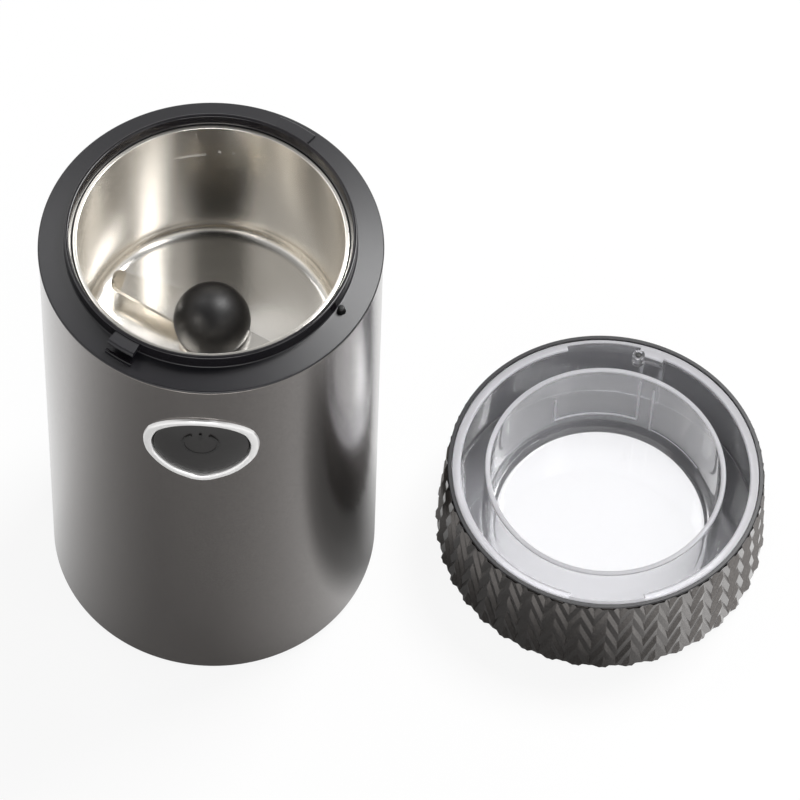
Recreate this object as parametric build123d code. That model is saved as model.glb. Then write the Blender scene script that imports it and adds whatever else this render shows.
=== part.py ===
from build123d import *
import os
from math import cos, radians, sin, tan

# An electric blade grinder for coffee, standing with its lid off.
# All sizes are millimetres. Z = 0 is the table, the body's axis is Z, and the button faces -Y.
# The lid lies upside down beside the body, so its rim points up.

# Fits
slip = 0.2              # between pieces that are pushed together by hand
pressed = 0.02          # round a piece that is pressed in
running = 0.05          # radial clearance of the shaft in its bearings
free = 0.4              # round a piece that moves
touch = 0.05            # between two curved faces that are held together
screw_slip = 0.2        # round a screw's shank
join = 1.0              # how far one shape runs into the next where the two are made one

# Housing
bowl_to_body = 10.0     # from the bowl's inside to the housing's outside, at the top
body_taper = 0.7        # how much wider the housing is at the bottom
housing_bottom = 1.0
housing_wall = 2.0

# Base
pad_to_boss = 4.8
pad_t = 1.5
pad_proud = 1.0         # how far the pad stands out below the housing
cover_t = 2.5
base_boss_r = 3.2
base_boss_height = 16.0
base_screw_r = 1.4
base_screw_inset = 7.5  # from the housing's outside to the screws
base_screw_grip = 9.0
base_head_gap = 0.5     # round the screw's head in its sink
base_head_t = 1.0
vent_count = 8
vent_width_angle = 18.0
vent_to_pad = 2.0
vent_depth = 3.6
corner_angles = [45, 135, 225, 315]

# Cord inlet: a notch in the back wall's lower edge, closed by a tongue on the base cover
cord_hole_r = 3.3
grommet_neck_half = 4.6 # half the side of the grommet's square neck
grommet_flange_r = 7.0
grommet_out = 1.4       # how far the grommet stands out of the wall
grommet_in = 1.8        # how far it reaches in behind the wall
inlet_z = 10.0

# Collar
collar_proud = 0.2      # how far the collar stands out past the housing
collar_land_back = 0.6  # how far it stands back in the shadow gap
shadow_gap = 0.4
flange_t = 1.6
deck_t = 3.8            # flange and the web under it
spigot_depth = 6.8
spigot_wall = 1.8
neck_out = 3.2          # from the bowl's inside to the neck's outside
neck_height = 4.2
neck_edge = 0.3
neck_crest = 0.8        # flat width of the neck's top
sleeve_depth = 6.0
chassis_boss_r = 2.9
chassis_boss_inset = 5.6
chassis_screw_r = 1.4

# Bayonet lugs on the neck
lug_angles = [-120, 60]
lug_width_angle = 15.0
lug_reach = 3.6
lug_t = 1.4
lug_above_deck = 2.3

# Bowl
bowl_r = 34.8
bowl_wall = 0.6
bowl_depth = 48.0
bowl_corner = 3.5
lip_reach = 0.6
lip_t = 0.8
lip_below_neck = 2.5
gasket_r = 20.0
gasket_t = 1.5

# Bush through the bowl's floor
bush_stem_r = 5.6
bush_flange_r = 8.5
bush_flange_t = 1.0
bush_length = 10.0
nut_flats = 16.0
nut_t = 3.4

# Carrier under the bowl
carrier_t = 3.0
post_r = 5.0
post_height = 5.4
damper_t = 3.0
chassis_screw_head_r = 2.8
chassis_screw_head_t = 2.2
chassis_screw_grip = 12.0

# Motor
shaft_r = 2.5
motor_screw_r = 2.0
motor_screw_x = 27.4
motor_screw_head_r = 3.5
motor_screw_head_t = 2.5
motor_screw_thread = 1.6    # how far the screw's tip goes into the carrier's plate
room_over_board = 11.4      # from the circuit board to the motor's lower frame
frame_t = 2.0
frame_leg_in = 24.4
frame_leg_out = 30.4
frame_leg_width = 14.0
upper_leg = 16.0
upper_bar_width = 20.0
stack_h = 24.0
stack_r = 31.0
stack_flat = 25.0
lower_leg = 23.0
bearing_r = 8.0
bearing_width = 5.0
cup_wall = 1.6
cup_floor = 1.2
cup_drop = 0.5              # how far the upper bearing hangs below the frame's plate
lower_cup_drop = 0.5
armature_r = 15.0
air_gap = 0.5
slot_count = 12
slot_width = 1.8
slot_depth = 4.5
winding_r = 12.5
winding_height = 6.0
coil_r_in = 17.1
coil_r_out = 23.5
coil_angle = 65.0
pole_angle = 48.0
window_angle_slip = 2.0     # how much wider the core's windows are than the coils' sides
coil_end = 5.7
commutator_r = 7.5
commutator_length = 11.0
commutator_gap = 1.5
bar_count = 24
bar_gap = 0.4
bar_gap_depth = 0.8
fan_r = 23.5
fan_gap = 1.5
fan_height = 5.5
fan_disc = 1.2
fan_hub_r = 5.5
vane_count = 9
vane_t = 1.2

# Brushes
brush_size = 6.0
brush_length = 12.0
brush_reach = 0.3           # gap to the commutator
brush_spring_length = 7.0
brush_spring_r = 2.6
brush_spring_wire = 0.7
holder_start = 2.4          # from the commutator's face to the holder
holder_wall = 2.5
holder_width = 11.0

# Blade and knob
hub_r = 9.2
hub_collar_r = 6.5
hub_flange_t = 1.2
hub_lift = 3.2              # from the hub's underside to the blade's underside
hub_gap = 0.3
blade_t = 1.4
blade_angle = 150.5
blade_front = 4.2
blade_back = 6.0
blade_tip_gap = 6.5         # from the longer corner of the wing to the bowl's wall
blade_sweep = 1.8
blade_tip_back = 1.6
blade_shoulder = 11.0
tip_length = 3.0
tip_droop = 45.0
knob_r = 10.3
knob_lift = 2.8             # the knob's centre above the blade's top
insert_r = 4.0
insert_height = 8.0
shaft_in_insert = 7.0

# Button and its chrome ring, drawn on the front of the housing
button_share = 0.4353       # height of its widest line, as a share of the way from carrier to collar
button_half_width = 15.1
button_rise = 13.7
button_drop = 15.9
button_side_x = 12.3
button_side_drop = 9.2
button_tip_x = 4.6
button_tip_drop = 14.7
bezel_width = 2.3
bezel_proud = 1.0
bezel_lip = 1.0
button_gap = 0.35
button_proud = 0.5
button_travel = 2.0
button_flange_t = 1.0
button_flange_back = 1.4    # from the housing's wall back to the flange
skirt_gap = 0.3
leg_half_width = 4.0
leg_t = 1.2
leg_below_switch = 3.0      # from the switch's middle down to the leg's end
guide_length = 3.4
guide_width = 1.6
guide_clear = 0.3
symbol_r = 4.6
symbol_line = 0.7
symbol_gap_angle = 62.0
symbol_rise = 2.7           # from the button's widest line to the symbol's middle
symbol_height = 0.25
symbol_dot_r = 0.6

# Small switches
switch_length = 12.8
switch_depth = 6.5
switch_t = 5.8
plunger_r = 1.0
terminal_length = 3.5
terminal_width = 2.0
terminal_t = 0.5
terminal_pitch = 4.6
touch_gap = 0.1             # left between a plunger and what presses it at full travel

# Springs behind the button and under the lock pin
spring_wire = 0.5
button_spring_room = 1.6    # from the switch's body to its plunger's tip
button_spring_r = 2.4
pin_spring_r = 2.2

# Lock pin in the collar
pin_angle = -28.3
pin_out = 1.5               # from the neck's outside to the pin's middle
pin_r = 0.9
pin_guide_r = 2.7
pin_guide_room = 15.4       # from the carrier up to the guide's end
pin_bore_gap = 0.3
pin_travel = 1.2
pin_shoulder_r = 2.4
pin_shoulder_t = 1.5
pin_shoulder_gap = 0.3
carrier_pin_hole_r = 2.0
interlock_plunger_height = 1.1

# Circuit board
board_size = (44.0, 34.0)
board_t = 1.6
board_post_r = 2.5
board_post_height = 4.5
board_post_inset = (4.0, 4.0)
board_stake_r = 1.2
stake_head = 0.6
capacitor_size = (18.0, 8.0, 8.6)
terminal_block_size = (15.0, 8.0, 8.0)
board_part_y = 10.5
board_part_corner = 0.8

# Lid, upside down on the table
lid_apart = 16.8            # between the housing and the lid, seen along X
lid_y = 7.3
lid_flare = 2.2             # how much wider the lid's top is than its rim
lid_height = 30.9
grip_wall = 1.7
grip_edge = 0.8
grip_flange_t = 0.8
grip_flange_reach = 14.0    # the dark ring round the window, under the cover
cover_plate_t = 2.0
skirt_t = 1.1
cover_below_rim = 0.4
inner_inset = 1.0           # from the bowl's inside to the lid's inner wall
inner_wall = 1.5
inner_below_rim = 0.4
window_inset = 3.4
window_step_h = 1.5
ledge_gap = 2.5             # from the neck to the ledges
ledge_t = 1.6
ledge_angle = 151.0
ledge_centres = [2, 182]
tab_angle = 72.0
tab_width_angle = 9.5
tab_gap = 1.4               # from the neck to the tab
tab_depth = 3.6
channel_rib_angle = 1.6
channel_rib_gap = 2.6       # from the neck to the ribs
channel_bottom = 6.0
peg_angle = 77.7
peg_r = 0.9
peg_boss_r = 1.4
peg_grip = 3.0

# Heights, from the table up
cover_bottom = housing_bottom
cover_top = cover_bottom + cover_t
board_bottom = cover_top + board_post_height
board_top = board_bottom + board_t
lower_frame_bottom = board_top + room_over_board
lower_frame_top = lower_frame_bottom + frame_t
stack_bottom = lower_frame_top + lower_leg
stack_top = stack_bottom + stack_h
upper_frame_bottom = stack_top + upper_leg
upper_frame_top = upper_frame_bottom + frame_t
post_bottom = upper_frame_top + damper_t
carrier_bottom = post_bottom + post_height
carrier_top = carrier_bottom + carrier_t
bowl_floor = carrier_top + gasket_t + bowl_wall
bowl_lip = bowl_floor + bowl_depth
lip_seat = bowl_lip - lip_t
neck_top = bowl_lip + lip_below_neck
deck_z = neck_top - neck_height
housing_top = deck_z - flange_t - shadow_gap
upper_bearing_z = upper_frame_bottom - cup_drop
lower_bearing_z = lower_frame_bottom - lower_cup_drop
commutator_top = stack_bottom - winding_height - commutator_gap
brush_z = commutator_top - commutator_length / 2
fan_bottom = stack_top + winding_height + fan_gap
bush_top = bowl_floor + bush_flange_t
hub_bottom = bush_top + hub_gap
blade_bottom = hub_bottom + hub_lift
blade_top = blade_bottom + blade_t
knob_z = blade_top + knob_lift
switch_axis_z = carrier_bottom - switch_t / 2
chassis_screw_head_z = carrier_bottom - chassis_screw_head_t
leg_bottom = switch_axis_z - leg_below_switch
button_z = carrier_top + button_share * (housing_top - carrier_top)
symbol_z = button_z + symbol_rise
interlock_plunger_z = carrier_bottom + interlock_plunger_height
pin_bottom = interlock_plunger_z + pin_travel + touch_gap
pin_guide_end = carrier_top + pin_guide_room
pin_shoulder_top = pin_guide_end - pin_shoulder_gap
pin_top = deck_z + cover_below_rim + pin_travel     # the closed lid's rim presses it down by its travel
peg_top = lid_height - cover_below_rim

# Radii, from the bowl out
body_r_top = bowl_r + bowl_to_body
body_r_base = body_r_top + body_taper
outside = body_r_base + bowl_to_body        # clear of the body all round
neck_r = bowl_r + neck_out
lug_r = neck_r + lug_reach
pin_ring = neck_r + pin_out
collar_r = body_r_top + collar_proud
collar_land_r = body_r_top - collar_land_back
collar_bore_r = bowl_r + bowl_wall + slip
spigot_r = body_r_top - housing_wall - slip
chassis_boss_ring = body_r_top - chassis_boss_inset
base_screw_ring = body_r_base - base_screw_inset
pad_r = base_screw_ring - base_boss_r - pad_to_boss
vent_inner_r = pad_r + vent_to_pad
blade_back_reach = bowl_r - blade_tip_gap
blade_front_reach = blade_back_reach - blade_sweep
button_flange_front = body_r_top - housing_wall - button_flange_back
guide_depth = button_flange_front - guide_length
button_leg_back = button_flange_front - leg_t
plunger_face_y = -(button_leg_back - button_travel - touch_gap)
lid_rim_r = body_r_top
lid_top_r = lid_rim_r + lid_flare
lid_x = body_r_base + lid_apart + lid_top_r
inner_r = bowl_r - inner_inset
window_step_r = inner_r - window_inset
ledge_r = neck_r + ledge_gap
tab_r = neck_r + tab_gap
channel_rib_r = neck_r + channel_rib_gap


def cylinder(radius, bottom, top, x=0, y=0):
    """A round bar along Z."""
    bar = Cylinder(radius, top - bottom, align=(Align.CENTER, Align.CENTER, Align.MIN))
    return Pos(x, y, bottom) * bar


def bar_along_y(radius, start, end, x, z):
    """A round bar along Y, from start to end."""
    bar = Cylinder(radius, end - start, align=(Align.CENTER, Align.CENTER, Align.MIN))
    return Pos(x, start, z) * Rot(-90, 0, 0) * bar


def block(x_range, y_range, z_range):
    """A box from its lowest to its highest corner."""
    low = (x_range[0], y_range[0], z_range[0])
    size = (x_range[1] - x_range[0], y_range[1] - y_range[0], z_range[1] - z_range[0])
    return Pos(*low) * Box(*size, align=(Align.MIN, Align.MIN, Align.MIN))


def turned(outline, angle=360):
    """A solid of revolution about Z from a closed outline of (radius, height) points."""
    return revolve(Plane.XZ * make_face(Polyline(*outline, close=True)), Axis.Z, revolution_arc=angle)


def ring(inner, outer, bottom, top):
    """A plain ring about Z."""
    return turned([(inner, bottom), (outer, bottom), (outer, top), (inner, top)])


def sector(inner, outer, bottom, top, centre, width):
    """A piece of a ring, width degrees wide, with its middle at the angle centre from +X."""
    outline = [(inner, bottom), (outer, bottom), (outer, top), (inner, top)]
    return Rot(0, 0, centre - width / 2) * turned(outline, width)


def on_circle(radius, angle):
    """The point at an angle in degrees from +X."""
    return radius * cos(radians(angle)), radius * sin(radians(angle))


def body_radius(z):
    """The housing's outer radius at a height: it narrows a little towards the top."""
    share = (z - housing_bottom) / (housing_top - housing_bottom)
    return body_r_base + (body_r_top - body_r_base) * share


def body_form(inset, bottom=housing_bottom, top=housing_top):
    """The housing's outer form, moved in by inset (or out, where it is negative)."""
    low = body_radius(bottom) - inset
    high = body_radius(top) - inset
    return turned([(0, bottom), (low, bottom), (high, top), (0, top)])


def button_outline(inset):
    """The button's rounded three-sided outline in the XZ plane, moved in by inset."""
    side = (button_half_width, 0)
    other = (-button_half_width, 0)
    tip = (button_tip_x, -button_tip_drop)
    other_tip = (-button_tip_x, -button_tip_drop)
    edges = [
        ThreePointArc(other, (0, button_rise), side),
        ThreePointArc(side, (button_side_x, -button_side_drop), tip),
        ThreePointArc(tip, (0, -button_drop), other_tip),
        ThreePointArc(other_tip, (-button_side_x, -button_side_drop), other),
    ]
    face = make_face(Wire(edges))
    return face if inset == 0 else offset(face, -inset)


def button_prism(inset, back, front):
    """The button's outline, moved in by inset and drawn out along Y between two distances."""
    sketch = Plane((0, -back, button_z), x_dir=(1, 0, 0), z_dir=(0, -1, 0)) * button_outline(inset)
    return extrude(sketch, front - back)


# Housing and base

def inlet_notch(gap, bottom, top):
    """The room of the cord's notch through the back wall, with a gap round the grommet's neck."""
    half = grommet_neck_half + gap
    return block((-half, half), (base_screw_ring, outside), (bottom, top))


def housing():
    """The tapered shell with its button hole, cord hole and four screw bosses."""
    shell = body_form(0) - body_form(housing_wall)
    boss_top = cover_top + base_boss_height
    for angle in corner_angles:
        x, y = on_circle(base_screw_ring, angle)
        reach = body_radius(boss_top) - housing_wall / 2
        rib = block((base_screw_ring, reach), (-base_boss_r / 2, base_boss_r / 2), (cover_top, boss_top))
        boss = cylinder(base_boss_r, cover_top, boss_top, x, y) + Rot(0, 0, angle) * rib
        shell += boss
        shell -= cylinder(base_screw_r, cover_top, boss_top - housing_wall, x, y)
    shell -= button_prism(bezel_lip - slip, guide_depth, outside)
    return shell - inlet_notch(slip, 0, inlet_z + grommet_neck_half + slip)


def base_cover():
    """The bottom plate with its vents, the pad's recess and the posts for the circuit board."""
    outer = body_radius(cover_top) - housing_wall - slip
    plate = cylinder(outer, cover_bottom, cover_top)
    plate -= cylinder(pad_r + slip, 0, pad_t)
    for step in range(vent_count):
        angle = (step + 0.5) * 360 / vent_count
        plate -= sector(vent_inner_r, vent_inner_r + vent_depth, 0, cover_top, angle, vent_width_angle)
    for angle in corner_angles:
        x, y = on_circle(base_screw_ring, angle)
        plate -= cylinder(base_screw_r + screw_slip, 0, cover_top, x, y)
        plate -= cylinder(base_boss_r, 0, cover_bottom + cover_t / 2, x, y)
    for x, y in board_posts():
        plate += cylinder(board_post_r, cover_top, board_bottom, x, y)
        plate += cylinder(board_stake_r, board_bottom, board_top + stake_head, x, y)
    tongue_top = inlet_z - grommet_neck_half - touch
    return plate + (inlet_notch(0, cover_bottom, tongue_top) & body_form(0))


def base_screws():
    """The four screws that hold the base cover, seen from below in their sinks."""
    screws = []
    sink = cover_bottom + cover_t / 2
    for angle in corner_angles:
        x, y = on_circle(base_screw_ring, angle)
        shank = cylinder(base_screw_r - pressed, sink, cover_top + base_screw_grip, x, y)
        head = cylinder(base_boss_r - base_head_gap, sink - base_head_t, sink, x, y)
        screws.append(shank + head)
    return Compound(screws)


def foot_pad():
    """The rubber disc that the body stands on."""
    disc = cylinder(pad_r, cover_bottom - pad_proud, cover_bottom - pad_proud + pad_t)
    return chamfer(disc.edges().group_by(Axis.Z)[0], pad_t / 4)


def cord_grommet():
    """The rubber ring that lines the cord's hole: two round flanges and a square neck in the notch."""
    wall_r = body_radius(inlet_z)
    out_face = wall_r + grommet_out
    in_face = wall_r - housing_wall - grommet_in
    whole = bar_along_y(grommet_flange_r, in_face, out_face, 0, inlet_z)
    top = inlet_z + grommet_flange_r + join
    neck_bottom = inlet_z - grommet_neck_half
    wall = body_form(-touch, housing_bottom, top) - body_form(housing_wall + touch, housing_bottom, top)
    wall -= inlet_notch(0, neck_bottom, inlet_z + grommet_neck_half)
    wall += block((-grommet_flange_r, grommet_flange_r), (0, wall_r - housing_wall), (0, neck_bottom))
    return whole - wall - bar_along_y(cord_hole_r, 0, out_face, 0, inlet_z)


# Collar, bowl and what holds them

def collar():
    """The black top ring: flat deck, raised neck with two lugs, spigot, screw bosses and pin guide."""
    flange_bottom = deck_z - flange_t
    web_bottom = deck_z - deck_t
    seat_r = collar_bore_r + lip_reach - slip / 4
    crest_in = neck_r - neck_edge - neck_crest
    outline = [
        (collar_bore_r, lip_seat - sleeve_depth), (collar_bore_r, lip_seat),
        (seat_r, lip_seat), (seat_r, bowl_lip), (crest_in, neck_top - neck_edge),
        (crest_in + neck_edge, neck_top), (neck_r - neck_edge, neck_top),
        (neck_r, neck_top - neck_edge), (neck_r, deck_z), (collar_r - neck_edge, deck_z),
        (collar_r, deck_z - neck_edge), (collar_r, flange_bottom), (collar_land_r, flange_bottom),
        (collar_land_r, housing_top), (spigot_r, housing_top), (spigot_r, housing_top - spigot_depth),
        (spigot_r - spigot_wall, housing_top - spigot_depth), (spigot_r - spigot_wall, web_bottom),
        (collar_bore_r + spigot_wall, web_bottom), (collar_bore_r + spigot_wall, lip_seat - sleeve_depth),
    ]
    body = turned(outline)
    lug_bottom = deck_z + lug_above_deck
    for angle in lug_angles:
        body += sector(neck_r - join, lug_r, lug_bottom, lug_bottom + lug_t, angle, lug_width_angle)
    for angle in corner_angles:
        x, y = on_circle(chassis_boss_ring, angle)
        body += cylinder(chassis_boss_r, carrier_top, web_bottom + join, x, y)
        body -= cylinder(chassis_screw_r, carrier_top, carrier_top + chassis_screw_grip + join, x, y)
    x, y = on_circle(pin_ring, pin_angle)
    body += cylinder(pin_guide_r, pin_guide_end, web_bottom + join, x, y)
    body -= cylinder(pin_r + pin_bore_gap, pin_guide_end, neck_top, x, y)
    return body


def bowl():
    """The drawn steel bowl with its turned-out lip and the hole for the bush."""
    outer_r = bowl_r + bowl_wall
    outer = cylinder(outer_r, bowl_floor - bowl_wall, bowl_lip)
    outer = fillet(outer.edges().group_by(Axis.Z)[0], bowl_corner + bowl_wall)
    inner = cylinder(bowl_r, bowl_floor, bowl_lip + join)
    inner = fillet(inner.edges().group_by(Axis.Z)[0], bowl_corner)
    lip = ring(bowl_r, outer_r + lip_reach, lip_seat, bowl_lip)
    shape = outer + lip - inner
    shape -= cylinder(bush_stem_r + slip, bowl_floor - 2 * bowl_wall, bowl_floor + bowl_wall)
    return fillet(shape.edges().group_by(Axis.Z)[-1], lip_t / 4)


def bowl_gasket():
    """The rubber washer between the bowl's floor and the carrier."""
    return ring(bush_stem_r + slip, gasket_r, carrier_top, carrier_top + gasket_t)


def bush():
    """The brass bush that clamps the bowl's floor and guides the shaft."""
    bottom = bush_top - bush_length
    shape = cylinder(bush_stem_r, bottom, bowl_floor) + cylinder(bush_flange_r, bowl_floor, bush_top)
    return shape - cylinder(shaft_r + running, bottom, bush_top)


def bush_nut():
    """The nut that pulls the bush down against the carrier."""
    sides = extrude(RegularPolygon(nut_flats / 2, 6, major_radius=False), nut_t)
    nut = Pos(0, 0, carrier_bottom - nut_t) * sides
    return nut - cylinder(bush_stem_r + pressed, carrier_bottom - nut_t, carrier_bottom)


def carrier():
    """The plastic plate that carries the bowl above and the motor below."""
    edge = body_radius(carrier_top) - housing_wall - free
    plate = cylinder(edge, carrier_bottom, carrier_top)
    for side in (-1, 1):
        x = side * motor_screw_x
        plate += cylinder(post_r, post_bottom, carrier_bottom, x)
        tip = carrier_bottom + motor_screw_thread + slip
        plate -= cylinder(motor_screw_r + pressed, post_bottom, tip, x)
    plate -= cylinder(bush_stem_r + slip, carrier_bottom, carrier_top)
    for angle in corner_angles:
        x, y = on_circle(chassis_boss_ring, angle)
        plate -= cylinder(chassis_screw_r + screw_slip, carrier_bottom, carrier_top, x, y)
    x, y = on_circle(pin_ring, pin_angle)
    plate -= cylinder(carrier_pin_hole_r, carrier_bottom, carrier_top, x, y)
    notch_back = button_leg_back - button_travel - free
    notch_half = leg_half_width + free
    plate -= block((-notch_half, notch_half), (-body_r_base, -notch_back), (carrier_bottom, carrier_top))
    return plate


def chassis_screws():
    """The four screws that hold the carrier to the collar's bosses."""
    screws = []
    for angle in corner_angles:
        x, y = on_circle(chassis_boss_ring, angle)
        tip = carrier_top + chassis_screw_grip
        shank = cylinder(chassis_screw_r - pressed, carrier_bottom, tip, x, y)
        head = cylinder(chassis_screw_head_r, chassis_screw_head_z, carrier_bottom, x, y)
        screws.append(shank + head)
    return Compound(screws)


# Motor, fixed pieces

def frame_legs(bottom, top):
    """The two legs of a motor frame, one each side."""
    half = frame_leg_width / 2
    right = block((frame_leg_in, frame_leg_out), (-half, half), (bottom, top))
    return right + mirror(right, Plane.YZ)


def screw_holes(bottom, top):
    """The two clearance holes for the long motor screws."""
    hole_r = motor_screw_r + screw_slip
    return cylinder(hole_r, bottom, top, motor_screw_x) + cylinder(hole_r, bottom, top, -motor_screw_x)


def bearing_cup(bottom):
    """A cup, open at its top, that holds a bearing whose lower face is at bottom."""
    inner = bearing_r + pressed
    cup = cylinder(inner + cup_wall, bottom - cup_floor, bottom + bearing_width)
    cup -= cylinder(inner, bottom, bottom + bearing_width)
    return cup - cylinder(shaft_r + cup_wall, bottom - cup_floor, bottom)


def motor_frame_upper():
    """The bridge across the top of the motor."""
    half = upper_bar_width / 2
    bar = block((-frame_leg_out, frame_leg_out), (-half, half), (upper_frame_bottom, upper_frame_top))
    bar -= cylinder(bearing_r + pressed, upper_frame_bottom, upper_frame_top)
    frame = bar + frame_legs(stack_top, upper_frame_bottom) + bearing_cup(upper_bearing_z)
    return frame - screw_holes(stack_top, upper_frame_top)


def motor_frame_lower():
    """The round plate and legs under the motor."""
    plate = cylinder(frame_leg_out, lower_frame_bottom, lower_frame_top)
    plate -= cylinder(bearing_r + pressed, lower_frame_bottom, lower_frame_top)
    frame = plate + frame_legs(lower_frame_top, stack_bottom) + bearing_cup(lower_bearing_z)
    return frame - screw_holes(lower_frame_bottom, stack_bottom)


def stator_core():
    """The stack of laminations with its bore and the four coil windows."""
    core = cylinder(stack_r, stack_bottom, stack_top)
    core &= block((-stack_r, stack_r), (-stack_flat, stack_flat), (stack_bottom, stack_top))
    core -= cylinder(armature_r + air_gap, stack_bottom, stack_top)
    middle = (pole_angle + coil_angle) / 2
    width = coil_angle - pole_angle + window_angle_slip
    for angle in (middle, -middle, 180 - middle, 180 + middle):
        core -= sector(coil_r_in - slip, coil_r_out + slip, stack_bottom, stack_top, angle, width)
    return core - screw_holes(stack_bottom, stack_top)


def field_coil(centre):
    """One field coil: its sides lie in the core's windows and its ends pass round the armature."""
    bottom = stack_bottom - coil_end
    top = stack_top + coil_end
    loop = sector(coil_r_in, coil_r_out, bottom, top, centre, 2 * coil_angle)
    low, high = stack_bottom - slip, stack_top + slip
    pole = sector(coil_r_in - join, coil_r_out + join, low, high, centre, 2 * pole_angle)
    return loop - pole


def bearing(bottom):
    """A bearing drawn as one ring."""
    return ring(shaft_r + running, bearing_r, bottom, bottom + bearing_width)


def brush_holder():
    """The plastic block that guides a brush, on the +Y side."""
    start = commutator_r + holder_start
    pocket_end = commutator_r + brush_reach + brush_length + brush_spring_length
    half = holder_width / 2
    top = brush_z + brush_size / 2 + holder_wall
    shape = block((-half, half), (start, pocket_end + holder_wall), (lower_frame_top, top))
    pocket = brush_size / 2 + slip
    return shape - block((-pocket, pocket), (start, pocket_end), (brush_z - pocket, brush_z + pocket))


def brush():
    """One carbon brush, on the +Y side."""
    half = brush_size / 2
    start = commutator_r + brush_reach
    return block((-half, half), (start, start + brush_length), (brush_z - half, brush_z + half))


def brush_spring():
    """The spring behind a brush, drawn as a sleeve."""
    start = commutator_r + brush_reach + brush_length
    end = start + brush_spring_length
    sleeve = bar_along_y(brush_spring_r, start, end, 0, brush_z)
    return sleeve - bar_along_y(brush_spring_r - brush_spring_wire, start, end, 0, brush_z)


def motor_screw(side):
    """One long screw from under the lower frame up into the carrier's post."""
    x = side * motor_screw_x
    shank = cylinder(motor_screw_r, lower_frame_bottom, carrier_bottom + motor_screw_thread, x)
    head_bottom = lower_frame_bottom - motor_screw_head_t
    return shank + cylinder(motor_screw_head_r, head_bottom, lower_frame_bottom, x)


def damper(side):
    """The rubber ring between the motor's frame and the carrier's post."""
    x = side * motor_screw_x
    outer = cylinder(post_r, upper_frame_top, post_bottom, x)
    return outer - cylinder(motor_screw_r + screw_slip, upper_frame_top, post_bottom, x)


# Motor, turning pieces

def shaft():
    """The motor's shaft, from the lower bearing to the knob's insert."""
    return cylinder(shaft_r, lower_bearing_z, blade_top + shaft_in_insert)


def on_shaft(shape, bottom, top):
    """A piece with its bore cut for the shaft."""
    return shape - cylinder(shaft_r + pressed, bottom, top)


def armature_core():
    """The slotted iron core that turns inside the stator."""
    core = cylinder(armature_r, stack_bottom, stack_top)
    half = slot_width / 2
    slot = block((armature_r - slot_depth, armature_r), (-half, half), (stack_bottom, stack_top))
    for step in range(slot_count):
        core -= Rot(0, 0, step * 360 / slot_count) * slot
    return on_shaft(core, stack_bottom, stack_top)


def armature_winding(bottom, top):
    """The copper turns that stand out at one end of the core."""
    coil = cylinder(winding_r, bottom, top)
    coil = fillet(coil.edges(), winding_height / 4)
    return on_shaft(coil, bottom, top)


def commutator():
    """The copper cylinder that the brushes run on, with its bars."""
    bottom = commutator_top - commutator_length
    shape = cylinder(commutator_r, bottom, commutator_top)
    half = bar_gap / 2
    groove = block((commutator_r - bar_gap_depth, commutator_r), (-half, half), (bottom, commutator_top))
    for step in range(bar_count):
        shape -= Rot(0, 0, step * 360 / bar_count) * groove
    return on_shaft(shape, bottom, commutator_top)


def fan():
    """The cooling fan above the armature."""
    top = fan_bottom + fan_height
    shape = cylinder(fan_r, fan_bottom, fan_bottom + fan_disc) + cylinder(fan_hub_r, fan_bottom, top)
    half = vane_t / 2
    vane = block((fan_hub_r - join, fan_r - join), (-half, half), (fan_bottom, top))
    for step in range(vane_count):
        shape += Rot(0, 0, step * 360 / vane_count) * vane
    return on_shaft(shape, fan_bottom, top)


def blade_hub():
    """The steel hub that the blade sits on."""
    shape = cylinder(hub_r, hub_bottom, hub_bottom + hub_flange_t)
    shape += cylinder(hub_collar_r, hub_bottom, blade_bottom)
    return on_shaft(shape, hub_bottom, blade_bottom)


def blade_wing():
    """One wing of the blade along +X, with its tip bent down."""
    front = blade_front
    tip_front = (blade_front_reach, front)
    tip_back = (blade_back_reach, -blade_tip_back)
    shoulder, heel = (blade_shoulder, -blade_back), (0, -blade_back)
    outline = Polyline((0, front), tip_front, tip_back, shoulder, heel, close=True)
    flat = Pos(0, 0, blade_bottom) * extrude(make_face(outline), blade_t)
    fold = Vector(tip_back[0] - tip_front[0], tip_back[1] - tip_front[1], 0)
    along = fold.normalized()
    outward = Vector(-along.Y, along.X, 0)
    across = Plane(Vector(tip_front[0], tip_front[1], blade_top), x_dir=outward, z_dir=along)
    droop = radians(tip_droop)
    end = (tip_length * cos(droop), -tip_length * sin(droop))
    under = (end[0] - blade_t * sin(droop), end[1] - blade_t * cos(droop))
    bend = (-blade_t * tan(droop / 2), -blade_t)
    overlap = blade_t / 2
    flap = Polyline((-overlap, 0), (0, 0), end, under, bend, (-overlap, -blade_t), close=True)
    return flat + extrude(across * make_face(flap), fold.length)


def blade():
    """The two-winged steel blade with its round middle."""
    wing = blade_wing()
    shape = wing + Rot(0, 0, 180) * wing + cylinder(hub_r, blade_bottom, blade_top)
    return on_shaft(Rot(0, 0, blade_angle) * shape, blade_bottom, blade_top)


def knob():
    """The rubber ball that screws down on the blade."""
    ball = Pos(0, 0, knob_z) * Sphere(knob_r)
    ball -= block((-knob_r, knob_r), (-knob_r, knob_r), (knob_z - 2 * knob_r, blade_top))
    return ball - cylinder(insert_r + pressed, blade_top, blade_top + insert_height)


def knob_insert():
    """The threaded brass insert inside the ball."""
    shape = cylinder(insert_r, blade_top, blade_top + insert_height)
    return on_shaft(shape, blade_top, blade_top + shaft_in_insert)


# Button

def bezel():
    """The chrome ring round the button, with a skirt that goes through the housing."""
    face = body_form(-bezel_proud) - body_form(-touch)
    front = (button_prism(0, 0, outside) - button_prism(bezel_width, 0, outside)) & face
    depth = button_flange_front + skirt_gap
    skirt = button_prism(bezel_lip, depth, outside) - button_prism(bezel_width, depth, outside)
    return front + (skirt & body_form(-bezel_proud / 2))


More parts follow.
